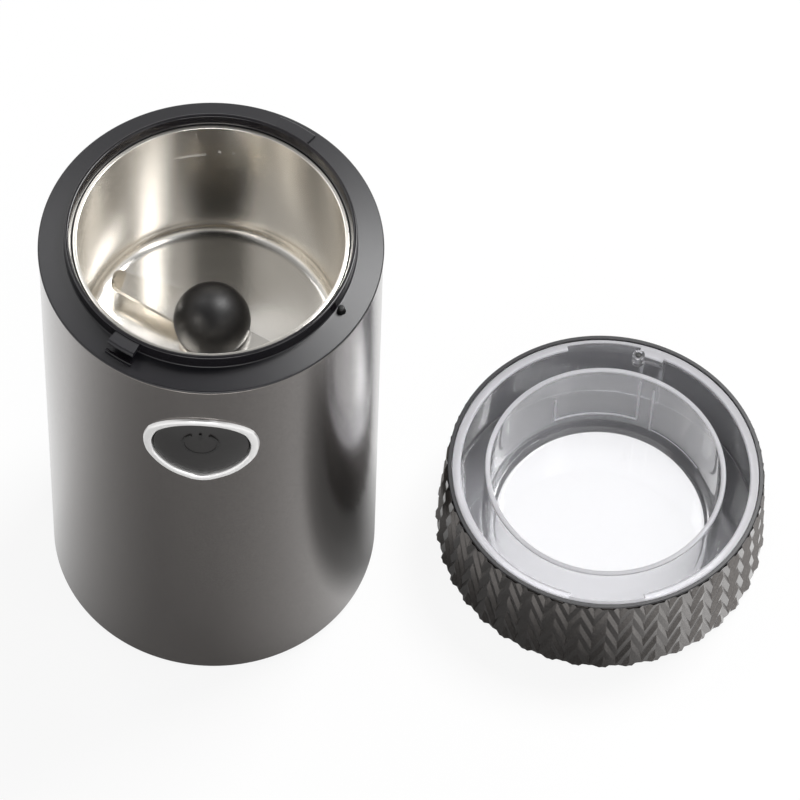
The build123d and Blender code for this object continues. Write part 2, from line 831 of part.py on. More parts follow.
def button():
    """The push button: domed cap, retaining flange, and a flat leg down to the switch."""
    inset = bezel_width + button_gap
    back = button_flange_front - button_flange_t
    cap = button_prism(inset, back, outside) & body_form(-button_proud)
    flange = button_prism(bezel_lip + button_gap, back, button_flange_front)
    leg_top = button_z
    leg_y = (-button_flange_front, -button_leg_back)
    leg = block((-leg_half_width, leg_half_width), leg_y, (leg_bottom, leg_top))
    return cap + flange + leg + power_symbol()


def power_symbol():
    """The raised arc and dot on the button's face."""
    front, back = -outside, -button_leg_back
    arc = bar_along_y(symbol_r, front, back, 0, symbol_z)
    arc -= bar_along_y(symbol_r - symbol_line, front, back, 0, symbol_z)
    half = symbol_r * sin(radians(symbol_gap_angle / 2))
    arc -= block((-half, half), (front, back), (symbol_z, symbol_z + symbol_r + join))
    mark = arc + bar_along_y(symbol_dot_r, front, back, 0, symbol_z + symbol_r - symbol_dot_r)
    return mark & (body_form(-button_proud - symbol_height) - body_form(-button_proud / 2))


def button_guide():
    """The frame behind the housing's wall that guides the button's flange."""
    outer = button_prism(-guide_width, guide_depth, outside)
    opening = button_prism(bezel_lip - guide_clear, guide_depth, outside)
    frame = (outer - opening) & body_form(housing_wall + touch)
    half = leg_half_width + free
    return frame - block((-half, half), (-body_r_base, 0), (0, button_z))


def spring_sleeve(radius, start, end):
    """A short spring along Z drawn as a sleeve."""
    return ring(radius - spring_wire, radius, start, end)


def small_switch(plunger_height):
    """A snap switch: its plunger points to +Z, its top is at Z = 0 and its length is along X."""
    half = switch_length / 2
    body = block((-half, half), (-switch_t / 2, switch_t / 2), (-switch_depth, 0))
    shape = body + cylinder(plunger_r, -join, plunger_height)
    for step in (-1, 0, 1):
        x = step * terminal_pitch
        low = -switch_depth - terminal_length
        side = terminal_width / 2
        shape += block((x - side, x + side), (-terminal_t / 2, terminal_t / 2), (low, -switch_depth + join))
    return shape


def button_switch():
    """The switch that the button's leg presses."""
    face_y = plunger_face_y + button_spring_room
    place = Plane((0, face_y, switch_axis_z), x_dir=(1, 0, 0), z_dir=(0, -1, 0))
    return place * small_switch(button_spring_room)


def button_spring():
    """The spring that pushes the button out, round the switch's plunger."""
    length = button_spring_room + button_travel + touch_gap
    start = Plane((0, plunger_face_y + button_spring_room, switch_axis_z), x_dir=(1, 0, 0), z_dir=(0, -1, 0))
    return start * spring_sleeve(button_spring_r, 0, length)


# Lock pin

def interlock_pin():
    """The pin that the lid's peg presses."""
    x, y = on_circle(pin_ring, pin_angle)
    rod = cylinder(pin_r, pin_bottom, pin_top, x, y)
    rod = fillet(rod.edges().group_by(Axis.Z)[-1], pin_r / 2)
    return rod + cylinder(pin_shoulder_r, pin_shoulder_top - pin_shoulder_t, pin_shoulder_top, x, y)


def interlock_spring():
    """The spring that lifts the pin, between the carrier and the pin's shoulder."""
    x, y = on_circle(pin_ring, pin_angle)
    return Pos(x, y, 0) * spring_sleeve(pin_spring_r, carrier_top, pin_shoulder_top - pin_shoulder_t)


def interlock_switch():
    """The switch under the pin."""
    x, y = on_circle(pin_ring - slip, pin_angle)
    place = Pos(x, y, carrier_bottom) * Rot(0, 0, pin_angle + 90)
    return place * small_switch(interlock_plunger_height)


# Circuit board

def board_posts():
    """The four posts' places."""
    x = board_size[0] / 2 - board_post_inset[0]
    y = board_size[1] / 2 - board_post_inset[1]
    return [(-x, -y), (x, -y), (-x, y), (x, y)]


def circuit_board():
    """The board that joins the cord to the motor."""
    half_x = board_size[0] / 2
    half_y = board_size[1] / 2
    board = block((-half_x, half_x), (-half_y, half_y), (board_bottom, board_top))
    for x, y in board_posts():
        board -= cylinder(board_stake_r + slip, board_bottom, board_top, x, y)
    return board


def board_part(size, y):
    """A block-shaped piece on the board."""
    half_x = size[0] / 2
    half_y = size[1] / 2
    shape = block((-half_x, half_x), (y - half_y, y + half_y), (board_top, board_top + size[2]))
    return fillet(shape.edges().filter_by(Axis.Z), board_part_corner)


# Lid, modelled about its own axis and then put in its place

def lid_radius(z):
    """The lid's outer radius at a height: it is widest at the table."""
    return lid_top_r + (lid_rim_r - lid_top_r) * z / lid_height


def lid_grip():
    """The dark band round the lid, with a narrow flange that lies on the table."""
    inner_low = lid_radius(grip_flange_t) - grip_wall
    outline = [
        (inner_low - grip_flange_reach, 0), (lid_top_r - grip_edge, 0), (lid_radius(grip_edge), grip_edge),
        (lid_rim_r, lid_height - grip_edge / 2), (lid_rim_r - grip_edge / 2, lid_height),
        (lid_rim_r - grip_wall, lid_height), (inner_low, grip_flange_t),
        (inner_low - grip_flange_reach, grip_flange_t),
    ]
    return turned(outline)


def lid_cover():
    """The clear cover: flat window, inner wall, skirt with its broken ledge, and the tab for the peg."""
    low = grip_flange_t
    plate_top = low + cover_plate_t
    rim = lid_height - cover_below_rim
    skirt_low = lid_radius(low) - grip_wall - slip / 2
    skirt_rim = lid_radius(rim) - grip_wall - slip / 2
    slope = (skirt_rim - skirt_low) / (rim - low)
    skirt_plate = skirt_low + slope * cover_plate_t
    outline = [
        (0, low), (skirt_low, low), (skirt_rim, rim), (skirt_rim - skirt_t, rim),
        (skirt_plate - skirt_t, plate_top), (inner_r, plate_top), (inner_r, lid_height - inner_below_rim),
        (inner_r - inner_wall, lid_height - inner_below_rim),
        (inner_r - inner_wall, plate_top + window_step_h), (window_step_r, plate_top + window_step_h),
        (window_step_r - window_step_h, plate_top), (0, plate_top),
    ]
    shape = turned(outline)
    mid_wall = skirt_rim - skirt_t / 2
    for centre in ledge_centres:
        shape += sector(ledge_r, mid_wall, rim - ledge_t, rim, centre, ledge_angle)
    shape += sector(tab_r, mid_wall, rim - tab_depth, rim, tab_angle, tab_width_angle)
    for side in (-1, 1):
        angle = tab_angle + side * (tab_width_angle - channel_rib_angle) / 2
        shape += sector(channel_rib_r, mid_wall, channel_bottom, rim - tab_depth, angle, channel_rib_angle)
    x, y = on_circle(pin_ring, peg_angle)
    shape += cylinder(peg_boss_r, rim - peg_grip - join, rim, x, y)
    return shape - cylinder(peg_r + pressed, rim - peg_grip, rim, x, y)


def lid_peg():
    """The small peg that presses the lock pin."""
    rim = lid_height - cover_below_rim
    x, y = on_circle(pin_ring, peg_angle)
    peg = cylinder(peg_r, rim - peg_grip, peg_top, x, y)
    return fillet(peg.edges().group_by(Axis.Z)[-1], peg_r / 2)


lid_place = Pos(lid_x, lid_y, 0)

pieces = {
    "housing": housing(),
    "base_cover": base_cover(),
    "base_screws": base_screws(),
    "foot_pad": foot_pad(),
    "cord_grommet": cord_grommet(),
    "collar": collar(),
    "bowl": bowl(),
    "bowl_gasket": bowl_gasket(),
    "bush": bush(),
    "bush_nut": bush_nut(),
    "carrier": carrier(),
    "chassis_screws": chassis_screws(),
    "motor_frame_upper": motor_frame_upper(),
    "motor_frame_lower": motor_frame_lower(),
    "stator_core": stator_core(),
    "field_coil_right": field_coil(0),
    "field_coil_left": field_coil(180),
    "bearing_upper": bearing(upper_bearing_z),
    "bearing_lower": bearing(lower_bearing_z),
    "brush_holder_back": brush_holder(),
    "brush_holder_front": mirror(brush_holder(), Plane.XZ),
    "brush_back": brush(),
    "brush_front": mirror(brush(), Plane.XZ),
    "brush_spring_back": brush_spring(),
    "brush_spring_front": mirror(brush_spring(), Plane.XZ),
    "motor_screws": Compound([motor_screw(-1), motor_screw(1)]),
    "damper_left": damper(-1),
    "damper_right": damper(1),
    "circuit_board": circuit_board(),
    "capacitor": board_part(capacitor_size, -board_part_y),
    "terminal_block": board_part(terminal_block_size, board_part_y),
    "bezel": bezel(),
    "button_guide": button_guide(),
    "button_switch": button_switch(),
    "button_spring": button_spring(),
    "interlock_switch": interlock_switch(),
    "interlock_spring": interlock_spring(),
    "button": button(),
    "interlock_pin": interlock_pin(),
    "shaft": shaft(),
    "armature_core": armature_core(),
    "armature_winding_lower": armature_winding(stack_bottom - winding_height, stack_bottom),
    "armature_winding_upper": armature_winding(stack_top, stack_top + winding_height),
    "commutator": commutator(),
    "fan": fan(),
    "blade_hub": blade_hub(),
    "blade": blade(),
    "knob": knob(),
    "knob_insert": knob_insert(),
    "lid_grip": lid_place * lid_grip(),
    "lid_cover": lid_place * lid_cover(),
    "lid_peg": lid_place * lid_peg(),
}

os.makedirs("parts", exist_ok=True)
for name, shape in pieces.items():
    export_step(shape, f"parts/{name}.step")
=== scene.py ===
# %% [markdown]
# # Dressing a blade coffee grinder
#
# The object is a small electric coffee grinder with a twist-on lid. The CAD model already holds every piece
# at its real size. This script gives the pieces that show a smoother and richer form, gives every piece a
# finish, and sets up a plain studio round them. It is written as a lesson: each step says what the piece is
# on the real object, how it could be made, and why it is made the way it is.
#
# Lengths are in millimetres while a piece is being made, because that is how such a thing is drawn. A piece
# is turned into metres, Blender's unit, when it is finished.

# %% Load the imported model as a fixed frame
import math

import bmesh
import bpy
from mathutils import Matrix, Vector


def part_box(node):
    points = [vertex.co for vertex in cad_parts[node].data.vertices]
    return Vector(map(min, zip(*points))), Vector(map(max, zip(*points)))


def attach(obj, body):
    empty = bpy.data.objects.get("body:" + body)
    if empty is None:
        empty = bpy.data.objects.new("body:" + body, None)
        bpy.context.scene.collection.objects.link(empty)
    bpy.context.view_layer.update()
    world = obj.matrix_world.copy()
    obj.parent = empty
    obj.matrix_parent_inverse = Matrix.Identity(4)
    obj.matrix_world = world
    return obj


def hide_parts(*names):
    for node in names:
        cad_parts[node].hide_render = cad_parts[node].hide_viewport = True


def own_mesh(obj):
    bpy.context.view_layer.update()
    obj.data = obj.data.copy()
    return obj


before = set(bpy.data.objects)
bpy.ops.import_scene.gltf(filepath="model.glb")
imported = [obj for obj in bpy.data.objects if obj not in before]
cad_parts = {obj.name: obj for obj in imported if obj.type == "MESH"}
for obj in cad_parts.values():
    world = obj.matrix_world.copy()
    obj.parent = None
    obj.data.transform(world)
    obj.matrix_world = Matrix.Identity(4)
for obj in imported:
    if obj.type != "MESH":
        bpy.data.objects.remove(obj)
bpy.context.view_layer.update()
MM = 0.001


def box_mm(node):
    """The lowest and highest corner of a CAD node in millimetres."""
    low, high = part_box(node)
    return low / MM, high / MM


# %% [markdown]
# ## The camera first
#
# The photograph looks down steeply, from a long way off, with the camera rolled a little. A camera could be
# aimed with a constraint, but a constraint can't hold the roll. Here the three directions of the camera are
# worked out from its angles, which is what a camera's matrix is made of.

# %% Place the camera
PICTURE = 800
FOCAL_PX = 5095.4
SENSOR = 36.0
FAR_CLIP = 20.0
AZIMUTH, ELEVATION, ROLL = 0.2, 58.6, 2.76
DISTANCE = 1401.3
AIM = Vector((50.88, 8.79, 60.0))

azimuth, elevation, roll = (math.radians(a) for a in (AZIMUTH, ELEVATION, ROLL))
back = Vector((
    math.sin(azimuth) * math.cos(elevation), -math.cos(azimuth) * math.cos(elevation), math.sin(elevation)
))
level_right = (-back).cross(Vector((0, 0, 1))).normalized()
level_up = level_right.cross(-back)
right = level_right * math.cos(roll) + level_up * math.sin(roll)
up = level_up * math.cos(roll) - level_right * math.sin(roll)

camera_data = bpy.data.cameras.new("camera")
camera_data.sensor_width = SENSOR
camera_data.lens = FOCAL_PX * SENSOR / PICTURE
camera_data.clip_end = FAR_CLIP
camera = bpy.data.objects.new("camera", camera_data)
place = (AIM + back * DISTANCE) * MM
camera.matrix_world = Matrix((
    (right.x, up.x, back.x, place.x),
    (right.y, up.y, back.y, place.y),
    (right.z, up.z, back.z, place.z),
    (0, 0, 0, 1),
))
bpy.context.scene.collection.objects.link(camera)
bpy.context.scene.camera = camera
print("lens", round(camera_data.lens, 1), "mm")

# %% [markdown]
# ## Colours and nodes
#
# Colours are picked from the photograph as sRGB hex values. Blender's shaders work in linear light, so one
# function converts them. One more small function adds a shader node with its settings and its links, which
# keeps each finish below short enough to read.

# %% Helpers for materials
MIX_A, MIX_B, MIX_OUT = 6, 7, 2      # the colour sockets of a Mix node, whose names are shared with its numbers


def linear(code):
    """An sRGB hex colour as linear red, green, blue and alpha."""
    channels = [int(code[i:i + 2], 16) / 255 for i in (1, 3, 5)]
    return tuple(c / 12.92 if c <= 0.04045 else ((c + 0.055) / 1.055) ** 2.4 for c in channels) + (1.0,)


def add(tree, kind, inputs=None, links=None, **settings):
    """Adds one node: its settings, the values of its inputs, and the outputs linked into it."""
    node = tree.nodes.new(kind)
    for key, value in settings.items():
        setattr(node, key, value)
    for key, value in (inputs or {}).items():
        node.inputs[key].default_value = value
    for key, source in (links or {}).items():
        tree.links.new(source, node.inputs[key])
    return node


def finish_named(name, values):
    """A new material with a Principled shader. Returns the material, its node tree and the shader."""
    material = bpy.data.materials.new(name)
    material.use_nodes = True
    shader = material.node_tree.nodes["Principled BSDF"]
    for key, value in values.items():
        shader.inputs[key].default_value = value
    return material, material.node_tree, shader


def per_metre(size_mm):
    """The scale of a texture whose pattern repeats every size_mm millimetres."""
    return 1.0 / (size_mm * MM)


# %% [markdown]
# ## Grain, speckle and small unevenness
#
# Nothing real is quite even. A noise texture in the piece's own space can stand for that in two ways: it can
# drive a bump, which tilts the surface for the light, and it can shift the roughness a little. Moulded plastic
# needs both. Its mould was spark eroded or blasted, which leaves a fine grain, and the tops of the grain wear
# smoother than the hollows.

# %% Let a pattern work on the surface
GRAIN_DETAIL, GRAIN_ROUGHNESS = 3.0, 0.6
NOISE_SPAN = (0.3, 0.7)         # nearly all of a noise texture's values lie between these


def texture(tree, kind, size_mm, values=None):
    """A texture node of any kind in the piece's own space, with a pattern about size_mm across."""
    where = add(tree, "ShaderNodeTexCoord")
    inputs = {"Scale": per_metre(size_mm), **(values or {})}
    return add(tree, kind, inputs, {"Vector": where.outputs["Object"]})


def uneven(tree, shader, pattern, roughness, height_mm=0.0, strength=1.0, span=(0.0, 1.0)):
    """Lets a pattern move a shader's roughness between two values and, with a height, raise small bumps."""
    spread = add(
        tree, "ShaderNodeMapRange",
        {"From Min": span[0], "From Max": span[1], "To Min": roughness[0], "To Max": roughness[1]},
        {"Value": pattern},
    )
    tree.links.new(spread.outputs["Result"], shader.inputs["Roughness"])
    if height_mm:
        bump = add(
            tree, "ShaderNodeBump", {"Strength": strength, "Distance": height_mm * MM}, {"Height": pattern}
        )
        tree.links.new(bump.outputs["Normal"], shader.inputs["Normal"])


def moulded_grain(tree, shader, grain_mm, height_mm, rough_low, rough_high):
    """Gives a shader a fine bump and a roughness that wanders with it."""
    grain = texture(
        tree, "ShaderNodeTexNoise", grain_mm, {"Detail": GRAIN_DETAIL, "Roughness": GRAIN_ROUGHNESS}
    )
    uneven(tree, shader, grain.outputs["Fac"], (rough_low, rough_high), height_mm, span=NOISE_SPAN)


# %% [markdown]
# ## Helpers for shapes
#
# Most of this object is turned: it is round about one axis. The easy way to make a turned shape is to draw
# half its section as a wire and spin it. Rounding the section's corners before the spin is far cheaper than
# bevelling the finished ring, so the corners are given their rounding as they are drawn.

# %% Draw a section and spin it
TURN_STEPS = 192
ROUND_SEGMENTS = 4
ROUND_STEP_MM = 0.4
WELD_MM = 0.0005


def section(corners, closed=True):
    """A wire in the XZ plane from (radius, height, rounding) corners."""
    bm = bmesh.new()
    verts = [bm.verts.new((r, 0, z)) for r, z, _ in corners]
    follow = verts[1:] + verts[:1] if closed else verts[1:]
    for a, b in zip(verts, follow):
        bm.edges.new((a, b))
    for size in sorted({c[2] for c in corners if c[2] > 0}):
        bmesh.ops.bevel(
            bm, geom=[v for v, c in zip(verts, corners) if c[2] == size], offset=size, offset_type="OFFSET",
            segments=max(ROUND_SEGMENTS, round(size / ROUND_STEP_MM)), profile=0.5, affect="VERTICES",
            material=-1,
        )
    return bm


def spin_round(bm, steps=TURN_STEPS):
    """Spins a section once round the Z axis and closes it, also where it touches the axis."""
    bmesh.ops.spin(
        bm, geom=bm.verts[:] + bm.edges[:], cent=(0, 0, 0), axis=(0, 0, 1), angle=2 * math.pi,
        steps=steps, use_merge=True,
    )
    bmesh.ops.remove_doubles(bm, verts=bm.verts, dist=WELD_MM)
    bmesh.ops.recalc_face_normals(bm, faces=bm.faces)
    return bm


def sector(corners, centre, width, steps=None):
    """A closed solid swept round part of a circle, in degrees, from a section's corners."""
    bm = section(corners)
    face = bmesh.ops.contextual_create(bm, geom=bm.edges[:])["faces"]
    bmesh.ops.rotate(bm, verts=bm.verts, matrix=Matrix.Rotation(math.radians(centre - width / 2), 3, "Z"))
    bmesh.ops.spin(
        bm, geom=face, cent=(0, 0, 0), axis=(0, 0, 1), angle=math.radians(width),
        steps=steps or max(4, round(TURN_STEPS * width / 360)), use_merge=False,
    )
    bmesh.ops.remove_doubles(bm, verts=bm.verts, dist=WELD_MM)
    bmesh.ops.recalc_face_normals(bm, faces=bm.faces)
    return bm


# %% Join and cut shapes
def placed(bm, name):
    """A bare object that holds a bmesh while a modifier works on it."""
    mesh = bpy.data.meshes.new(name)
    bm.to_mesh(mesh)
    bm.free()
    holder = bpy.data.objects.new(name, mesh)
    bpy.context.scene.collection.objects.link(holder)
    return holder


def combine(bm, tool, operation):
    """Unites or cuts two closed bmeshes with a Boolean modifier and returns the result as a bmesh."""
    base, other = placed(bm, "base"), placed(tool, "tool")
    boolean = base.modifiers.new("boolean", "BOOLEAN")
    boolean.object = other
    boolean.operation = operation
    boolean.solver = "EXACT"
    held = base.evaluated_get(bpy.context.evaluated_depsgraph_get())
    result = bmesh.new()
    result.from_mesh(held.to_mesh())
    held.to_mesh_clear()
    for holder in (base, other):
        bpy.data.objects.remove(holder)
    return result


def add_shape(bm, other):
    """Adds the faces of one bmesh to another, without joining them."""
    mesh = bpy.data.meshes.new("added")
    other.to_mesh(mesh)
    other.free()
    bm.from_mesh(mesh)
    bpy.data.meshes.remove(mesh)
    return bm


# %% Finish a piece
SHARP_ANGLE = 32.0


def finish_piece(name, bm, body, finishes, replaces=None, sharp=SHARP_ANGLE, second=None):
    """Makes a smooth-shaded object in metres, hands it to a CAD body and gives it its finish.

    Where there are two finishes, second says which faces get the second one, from the face in millimetres.
    """
    for face in bm.faces:
        face.material_index = 1 if second and second(face) else 0
    bm.transform(Matrix.Scale(MM, 4))
    mesh = bpy.data.meshes.new(name)
    bm.to_mesh(mesh)
    open_edges = sum(1 for e in bm.edges if len(e.link_faces) != 2)
    bm.free()
    mesh.shade_smooth()
    mesh.set_sharp_from_angle(angle=math.radians(sharp))
    for material in finishes:
        mesh.materials.append(material)
    piece = bpy.data.objects.new(name, mesh)
    bpy.context.scene.collection.objects.link(piece)
    weighted = piece.modifiers.new("weighted normals", "WEIGHTED_NORMAL")
    weighted.keep_sharp = True
    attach(piece, body)
    if replaces:
        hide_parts(replaces)
    print(f"{name}: {len(mesh.polygons)} faces, {open_edges} open edges")
    return piece


# %% [markdown]
# ## The housing
#
# The body is one tall plastic shell, sprayed with a dark metallic lacquer and a clear coat. It is a very
# slightly tapered tube, so it is spun. The mirror-like coat shows every flaw in the shading, and a Boolean
# cut leaves long thin faces that shade badly. So the tube is first cut into narrow rows near the button:
# whatever the cut spoils then stays within a millimetre or so of the hole, under the chrome ring.

# %% The lacquer on the housing
FLAKE_MM = 0.35         # real flake is ten times finer; it is drawn as coarse as the picture can show
ORANGE_PEEL_MM, ORANGE_PEEL_HEIGHT = 3.0, 0.004


def flake_lacquer(name, base, light, share, values):
    """A metallic lacquer under a clear coat. Each cell of a Voronoi texture is a flake of its own brightness.

    Share says how far the brightest flake goes from the base colour to the light one.
    """
    material, tree, shader = finish_named(name, {
        "Metallic": 0.95, "Coat Roughness": 0.14, "Coat IOR": 1.45, **values
    })
    flake = texture(tree, "ShaderNodeTexVoronoi", FLAKE_MM)
    sparkle = add(tree, "ShaderNodeMapRange", {"To Max": share}, {"Value": flake.outputs["Color"]})
    colour = add(
        tree, "ShaderNodeMix", {MIX_A: linear(base), MIX_B: linear(light)},
        {"Factor": sparkle.outputs["Result"]}, data_type="RGBA",
    )
    tree.links.new(colour.outputs[MIX_OUT], shader.inputs["Base Color"])
    return material, tree, shader


# The flake gives the grey shell its soft, wide lights, and the coat lays crisper ones over them.
lacquer, tree, shader = flake_lacquer(
    "metallic_lacquer_on_abs", "#6a6562", "#8b8682", 0.5, {"Roughness": 0.23, "Coat Weight": 0.7}
)
waves = texture(tree, "ShaderNodeTexNoise", ORANGE_PEEL_MM, {"Detail": 1.0})
peel = add(
    tree, "ShaderNodeBump", {"Strength": 1.0, "Distance": ORANGE_PEEL_HEIGHT * MM},
    {"Height": waves.outputs["Fac"]},
)
tree.links.new(peel.outputs["Normal"], shader.inputs["Coat Normal"])

# %% The button's outline
housing_low, housing_high = box_mm("housing")
bezel_high = box_mm("bezel")[1]
COLLAR_R = box_mm("collar")[1].x
COLLAR_OVERHANG = 0.2
BASE_R = housing_high.x
TOP_R = COLLAR_R - COLLAR_OVERHANG
WALL = 2.0
BUTTON_RISE, BUTTON_DROP = 13.7, 15.9
BUTTON_SIDE = (12.3, 9.2)
BUTTON_TIP = (4.6, 14.7)
button_z = bezel_high.z - BUTTON_RISE
button_half = bezel_high.x
CORNER_OUT = 0.7        # the side corners start this far out, because rounding pulls them in
CORNER_REACH = 5.0      # how much of the outline round each side corner is smoothed
CORNER_PASSES = 10
OUTLINE_STEPS = 14
OUTLINE_WELD = 0.01


def body_radius(z):
    """The housing's radius at a height."""
    share = (z - housing_low.z) / (housing_high.z - housing_low.z)
    return BASE_R + (TOP_R - BASE_R) * share


def arc(bm, start, middle, end, steps):
    """Draws an arc through three points of the XZ plane by spinning a vertex about the arc's centre."""
    ax, az = start
    bx, bz = middle
    cx, cz = end
    turn = 2 * (ax * (bz - cz) + bx * (cz - az) + cx * (az - bz))
    a2, b2, c2 = ax * ax + az * az, bx * bx + bz * bz, cx * cx + cz * cz
    ox = (a2 * (bz - cz) + b2 * (cz - az) + c2 * (az - bz)) / turn
    oz = (a2 * (cx - bx) + b2 * (ax - cx) + c2 * (bx - ax)) / turn
    first = math.atan2(az - oz, ax - ox)
    sweep = (math.atan2(cz - oz, cx - ox) - first) % (2 * math.pi)
    if (math.atan2(bz - oz, bx - ox) - first) % (2 * math.pi) > sweep:
        sweep -= 2 * math.pi
    vert = bm.verts.new((ax, 0, az))
    bmesh.ops.spin(bm, geom=[vert], cent=(ox, 0, oz), axis=(0, -1, 0), angle=sweep, steps=steps)
    return vert


def button_outline(inset=0.0, height=0.0, scale=1.0):
    """The rounded three-sided outline as a flat face that looks along -Y, moved in and out of the wall."""
    bm = bmesh.new()
    half = button_half + CORNER_OUT
    tip, other_tip = (BUTTON_TIP[0], -BUTTON_TIP[1]), (-BUTTON_TIP[0], -BUTTON_TIP[1])
    arc(bm, (-half, 0), (0, BUTTON_RISE), (half, 0), 2 * OUTLINE_STEPS)
    arc(bm, (half, 0), (BUTTON_SIDE[0], -BUTTON_SIDE[1]), tip, OUTLINE_STEPS)
    arc(bm, tip, (0, -BUTTON_DROP), other_tip, OUTLINE_STEPS)
    arc(bm, other_tip, (-BUTTON_SIDE[0], -BUTTON_SIDE[1]), (-half, 0), OUTLINE_STEPS)
    bmesh.ops.remove_doubles(bm, verts=bm.verts, dist=OUTLINE_WELD)
    side = Vector((half, 0))
    for _ in range(CORNER_PASSES):
        corner = [v for v in bm.verts if (Vector((abs(v.co.x), v.co.z)) - side).length < CORNER_REACH]
        bmesh.ops.smooth_vert(
            bm, verts=corner, factor=0.5, use_axis_x=True, use_axis_y=True, use_axis_z=True
        )
    face = bmesh.ops.contextual_create(bm, geom=bm.edges[:])["faces"][0]
    if face.normal.y > 0:
        bmesh.ops.reverse_faces(bm, faces=bm.faces)
    if inset:
        rim = bmesh.ops.inset_region(
            bm, faces=[face], thickness=inset, depth=0.0, use_even_offset=True, use_boundary=True
        )
        bmesh.ops.delete(bm, geom=rim["faces"], context="FACES")
    bmesh.ops.scale(bm, verts=bm.verts, vec=(scale, 1, scale))
    bmesh.ops.translate(bm, verts=bm.verts, vec=(0, -height, button_z))
    return bm


def outline_rings(loops, closed):
    """A skin over a row of outlines, each given as (inset, height out of the wall, scale)."""
    bm = bmesh.new()
    rings = []
    for inset, height, scale in loops:
        ring = button_outline(inset, height, scale)
        bmesh.ops.delete(ring, geom=ring.faces[:], context="FACES_ONLY")
        count = len(ring.edges)
        add_shape(bm, ring)
        rings.append(bm.edges[:][-count:])
    for ring, following in zip(rings, rings[1:] + (rings[:1] if closed else [])):
        bmesh.ops.bridge_loops(bm, edges=ring + following)
    if not closed:
        for ring in (rings[0], rings[-1]):
            bmesh.ops.contextual_create(bm, geom=ring)
    bmesh.ops.recalc_face_normals(bm, faces=bm.faces)
    return bm


def lay_on_body(bm):
    """Bends a flat piece round the housing: what stood at Y = -h then stands h out of the wall."""
    for vert in bm.verts:
        out = body_radius(vert.co.z) - vert.co.y
        vert.co.y = -math.sqrt(max(out * out - vert.co.x ** 2, 0.0))
    return bm


outline = button_outline()
print("outline:", len(outline.verts), "points, half width", round(max(v.co.x for v in outline.verts), 2))
outline.free()

# %% Spin the housing and cut the button's hole
ROW_MM = 1.0
HOLE_INSET = 0.8
CUT_DEPTH = 12.0

housing = section([
    (BASE_R, housing_low.z, 0.4), (TOP_R, housing_high.z, 0.3),
    (TOP_R - WALL, housing_high.z, 0.0), (BASE_R - WALL, housing_low.z, 0.0),
])
for row in range(int((BUTTON_DROP + BUTTON_RISE) / ROW_MM) + 3):
    height = button_z - BUTTON_DROP - ROW_MM + row * ROW_MM
    bmesh.ops.bisect_plane(
        housing, geom=housing.verts[:] + housing.edges[:], plane_co=(0, 0, height), plane_no=(0, 0, 1)
    )
spin_round(housing)
hole = outline_rings([(HOLE_INSET, BASE_R, 1.0), (HOLE_INSET, BASE_R - 2 * CUT_DEPTH, 1.0)], closed=False)
housing = combine(housing, hole, "DIFFERENCE")
finish_piece("housing_shell", housing, "body", (lacquer,), "housing")

# %% [markdown]
# ## The chrome ring
#
# The ring round the button is plastic plated with chrome: a narrow crowned band that follows the button's
# outline. It can't be spun. It is built the way a ship's hull is lofted: a row of outlines, each moved in a
# little and out of the wall a little, with a skin bridged over them. Then it is bent round the housing.

# %% Chrome plate
# Thin plating over pale plastic: it mirrors the tent, and stays light where the tent is dark. A slight haze
# keeps its lights from being perfectly sharp.
chrome, tree, shader = finish_named("chrome_plated_abs", {
    "Base Color": linear("#fffefd"), "Metallic": 0.45, "Roughness": 0.14,
})
CHROME_HAZE_MM = 4.0
haze = texture(tree, "ShaderNodeTexNoise", CHROME_HAZE_MM, {"Detail": 2.0})
uneven(tree, shader, haze.outputs["Fac"], (0.1, 0.18))

# %% Loft the ring
RING_WIDTH = 2.3
RING_PROUD = 0.9
RING_TOUCH = 0.05
RING_STEPS = 10
SKIRT_INSET = 1.0
SKIRT_DEPTH = 3.4

crown = []
for step in range(RING_STEPS + 1):
    across = math.pi * step / RING_STEPS
    bulge = math.sqrt(math.sin(across)) if 0 < step < RING_STEPS else 0.0
    crown.append((RING_WIDTH * (1 - math.cos(across)) / 2, RING_TOUCH + (RING_PROUD - RING_TOUCH) * bulge, 1.0))
skirt = [(RING_WIDTH, -SKIRT_DEPTH, 1.0), (SKIRT_INSET, -SKIRT_DEPTH, 1.0), (SKIRT_INSET, RING_TOUCH, 1.0)]
ring = lay_on_body(outline_rings(crown + skirt, closed=True))
finish_piece("chrome_ring", ring, "body", (chrome,), "bezel", sharp=50)

# %% [markdown]
# ## The push button
#
# The button is moulded in dark plastic with a soft-touch coat. Its face is crowned, so its top catches the
# light and its lower edge falls into shade. It is lofted from the same outline. The middle of the face uses
# scaled outlines rather than inset ones, because an inset deeper than a corner's rounding folds over itself.

# %% Soft-touch plastic
# The soft coat spreads every light, so the button looks dark grey and even, without a sharp reflection.
soft_touch, tree, shader = finish_named("soft_touch_coated_abs", {
    "Base Color": linear("#1f1d1c"), "Roughness": 0.4, "IOR": 1.5,
})
moulded_grain(tree, shader, grain_mm=0.25, height_mm=0.004, rough_low=0.28, rough_high=0.36)

# %% Loft the button
BUTTON_GAP = 0.35
BUTTON_PROUD = 0.15
BUTTON_CROWN = 0.78
FACE_STEPS = 12
EDGE = 0.5
cap_inset = RING_WIDTH + BUTTON_GAP


def crown_height(scale):
    """How far the button's face stands out of the wall, from its edge (1) to its middle (0)."""
    return BUTTON_PROUD + BUTTON_CROWN * (1 - scale * scale)


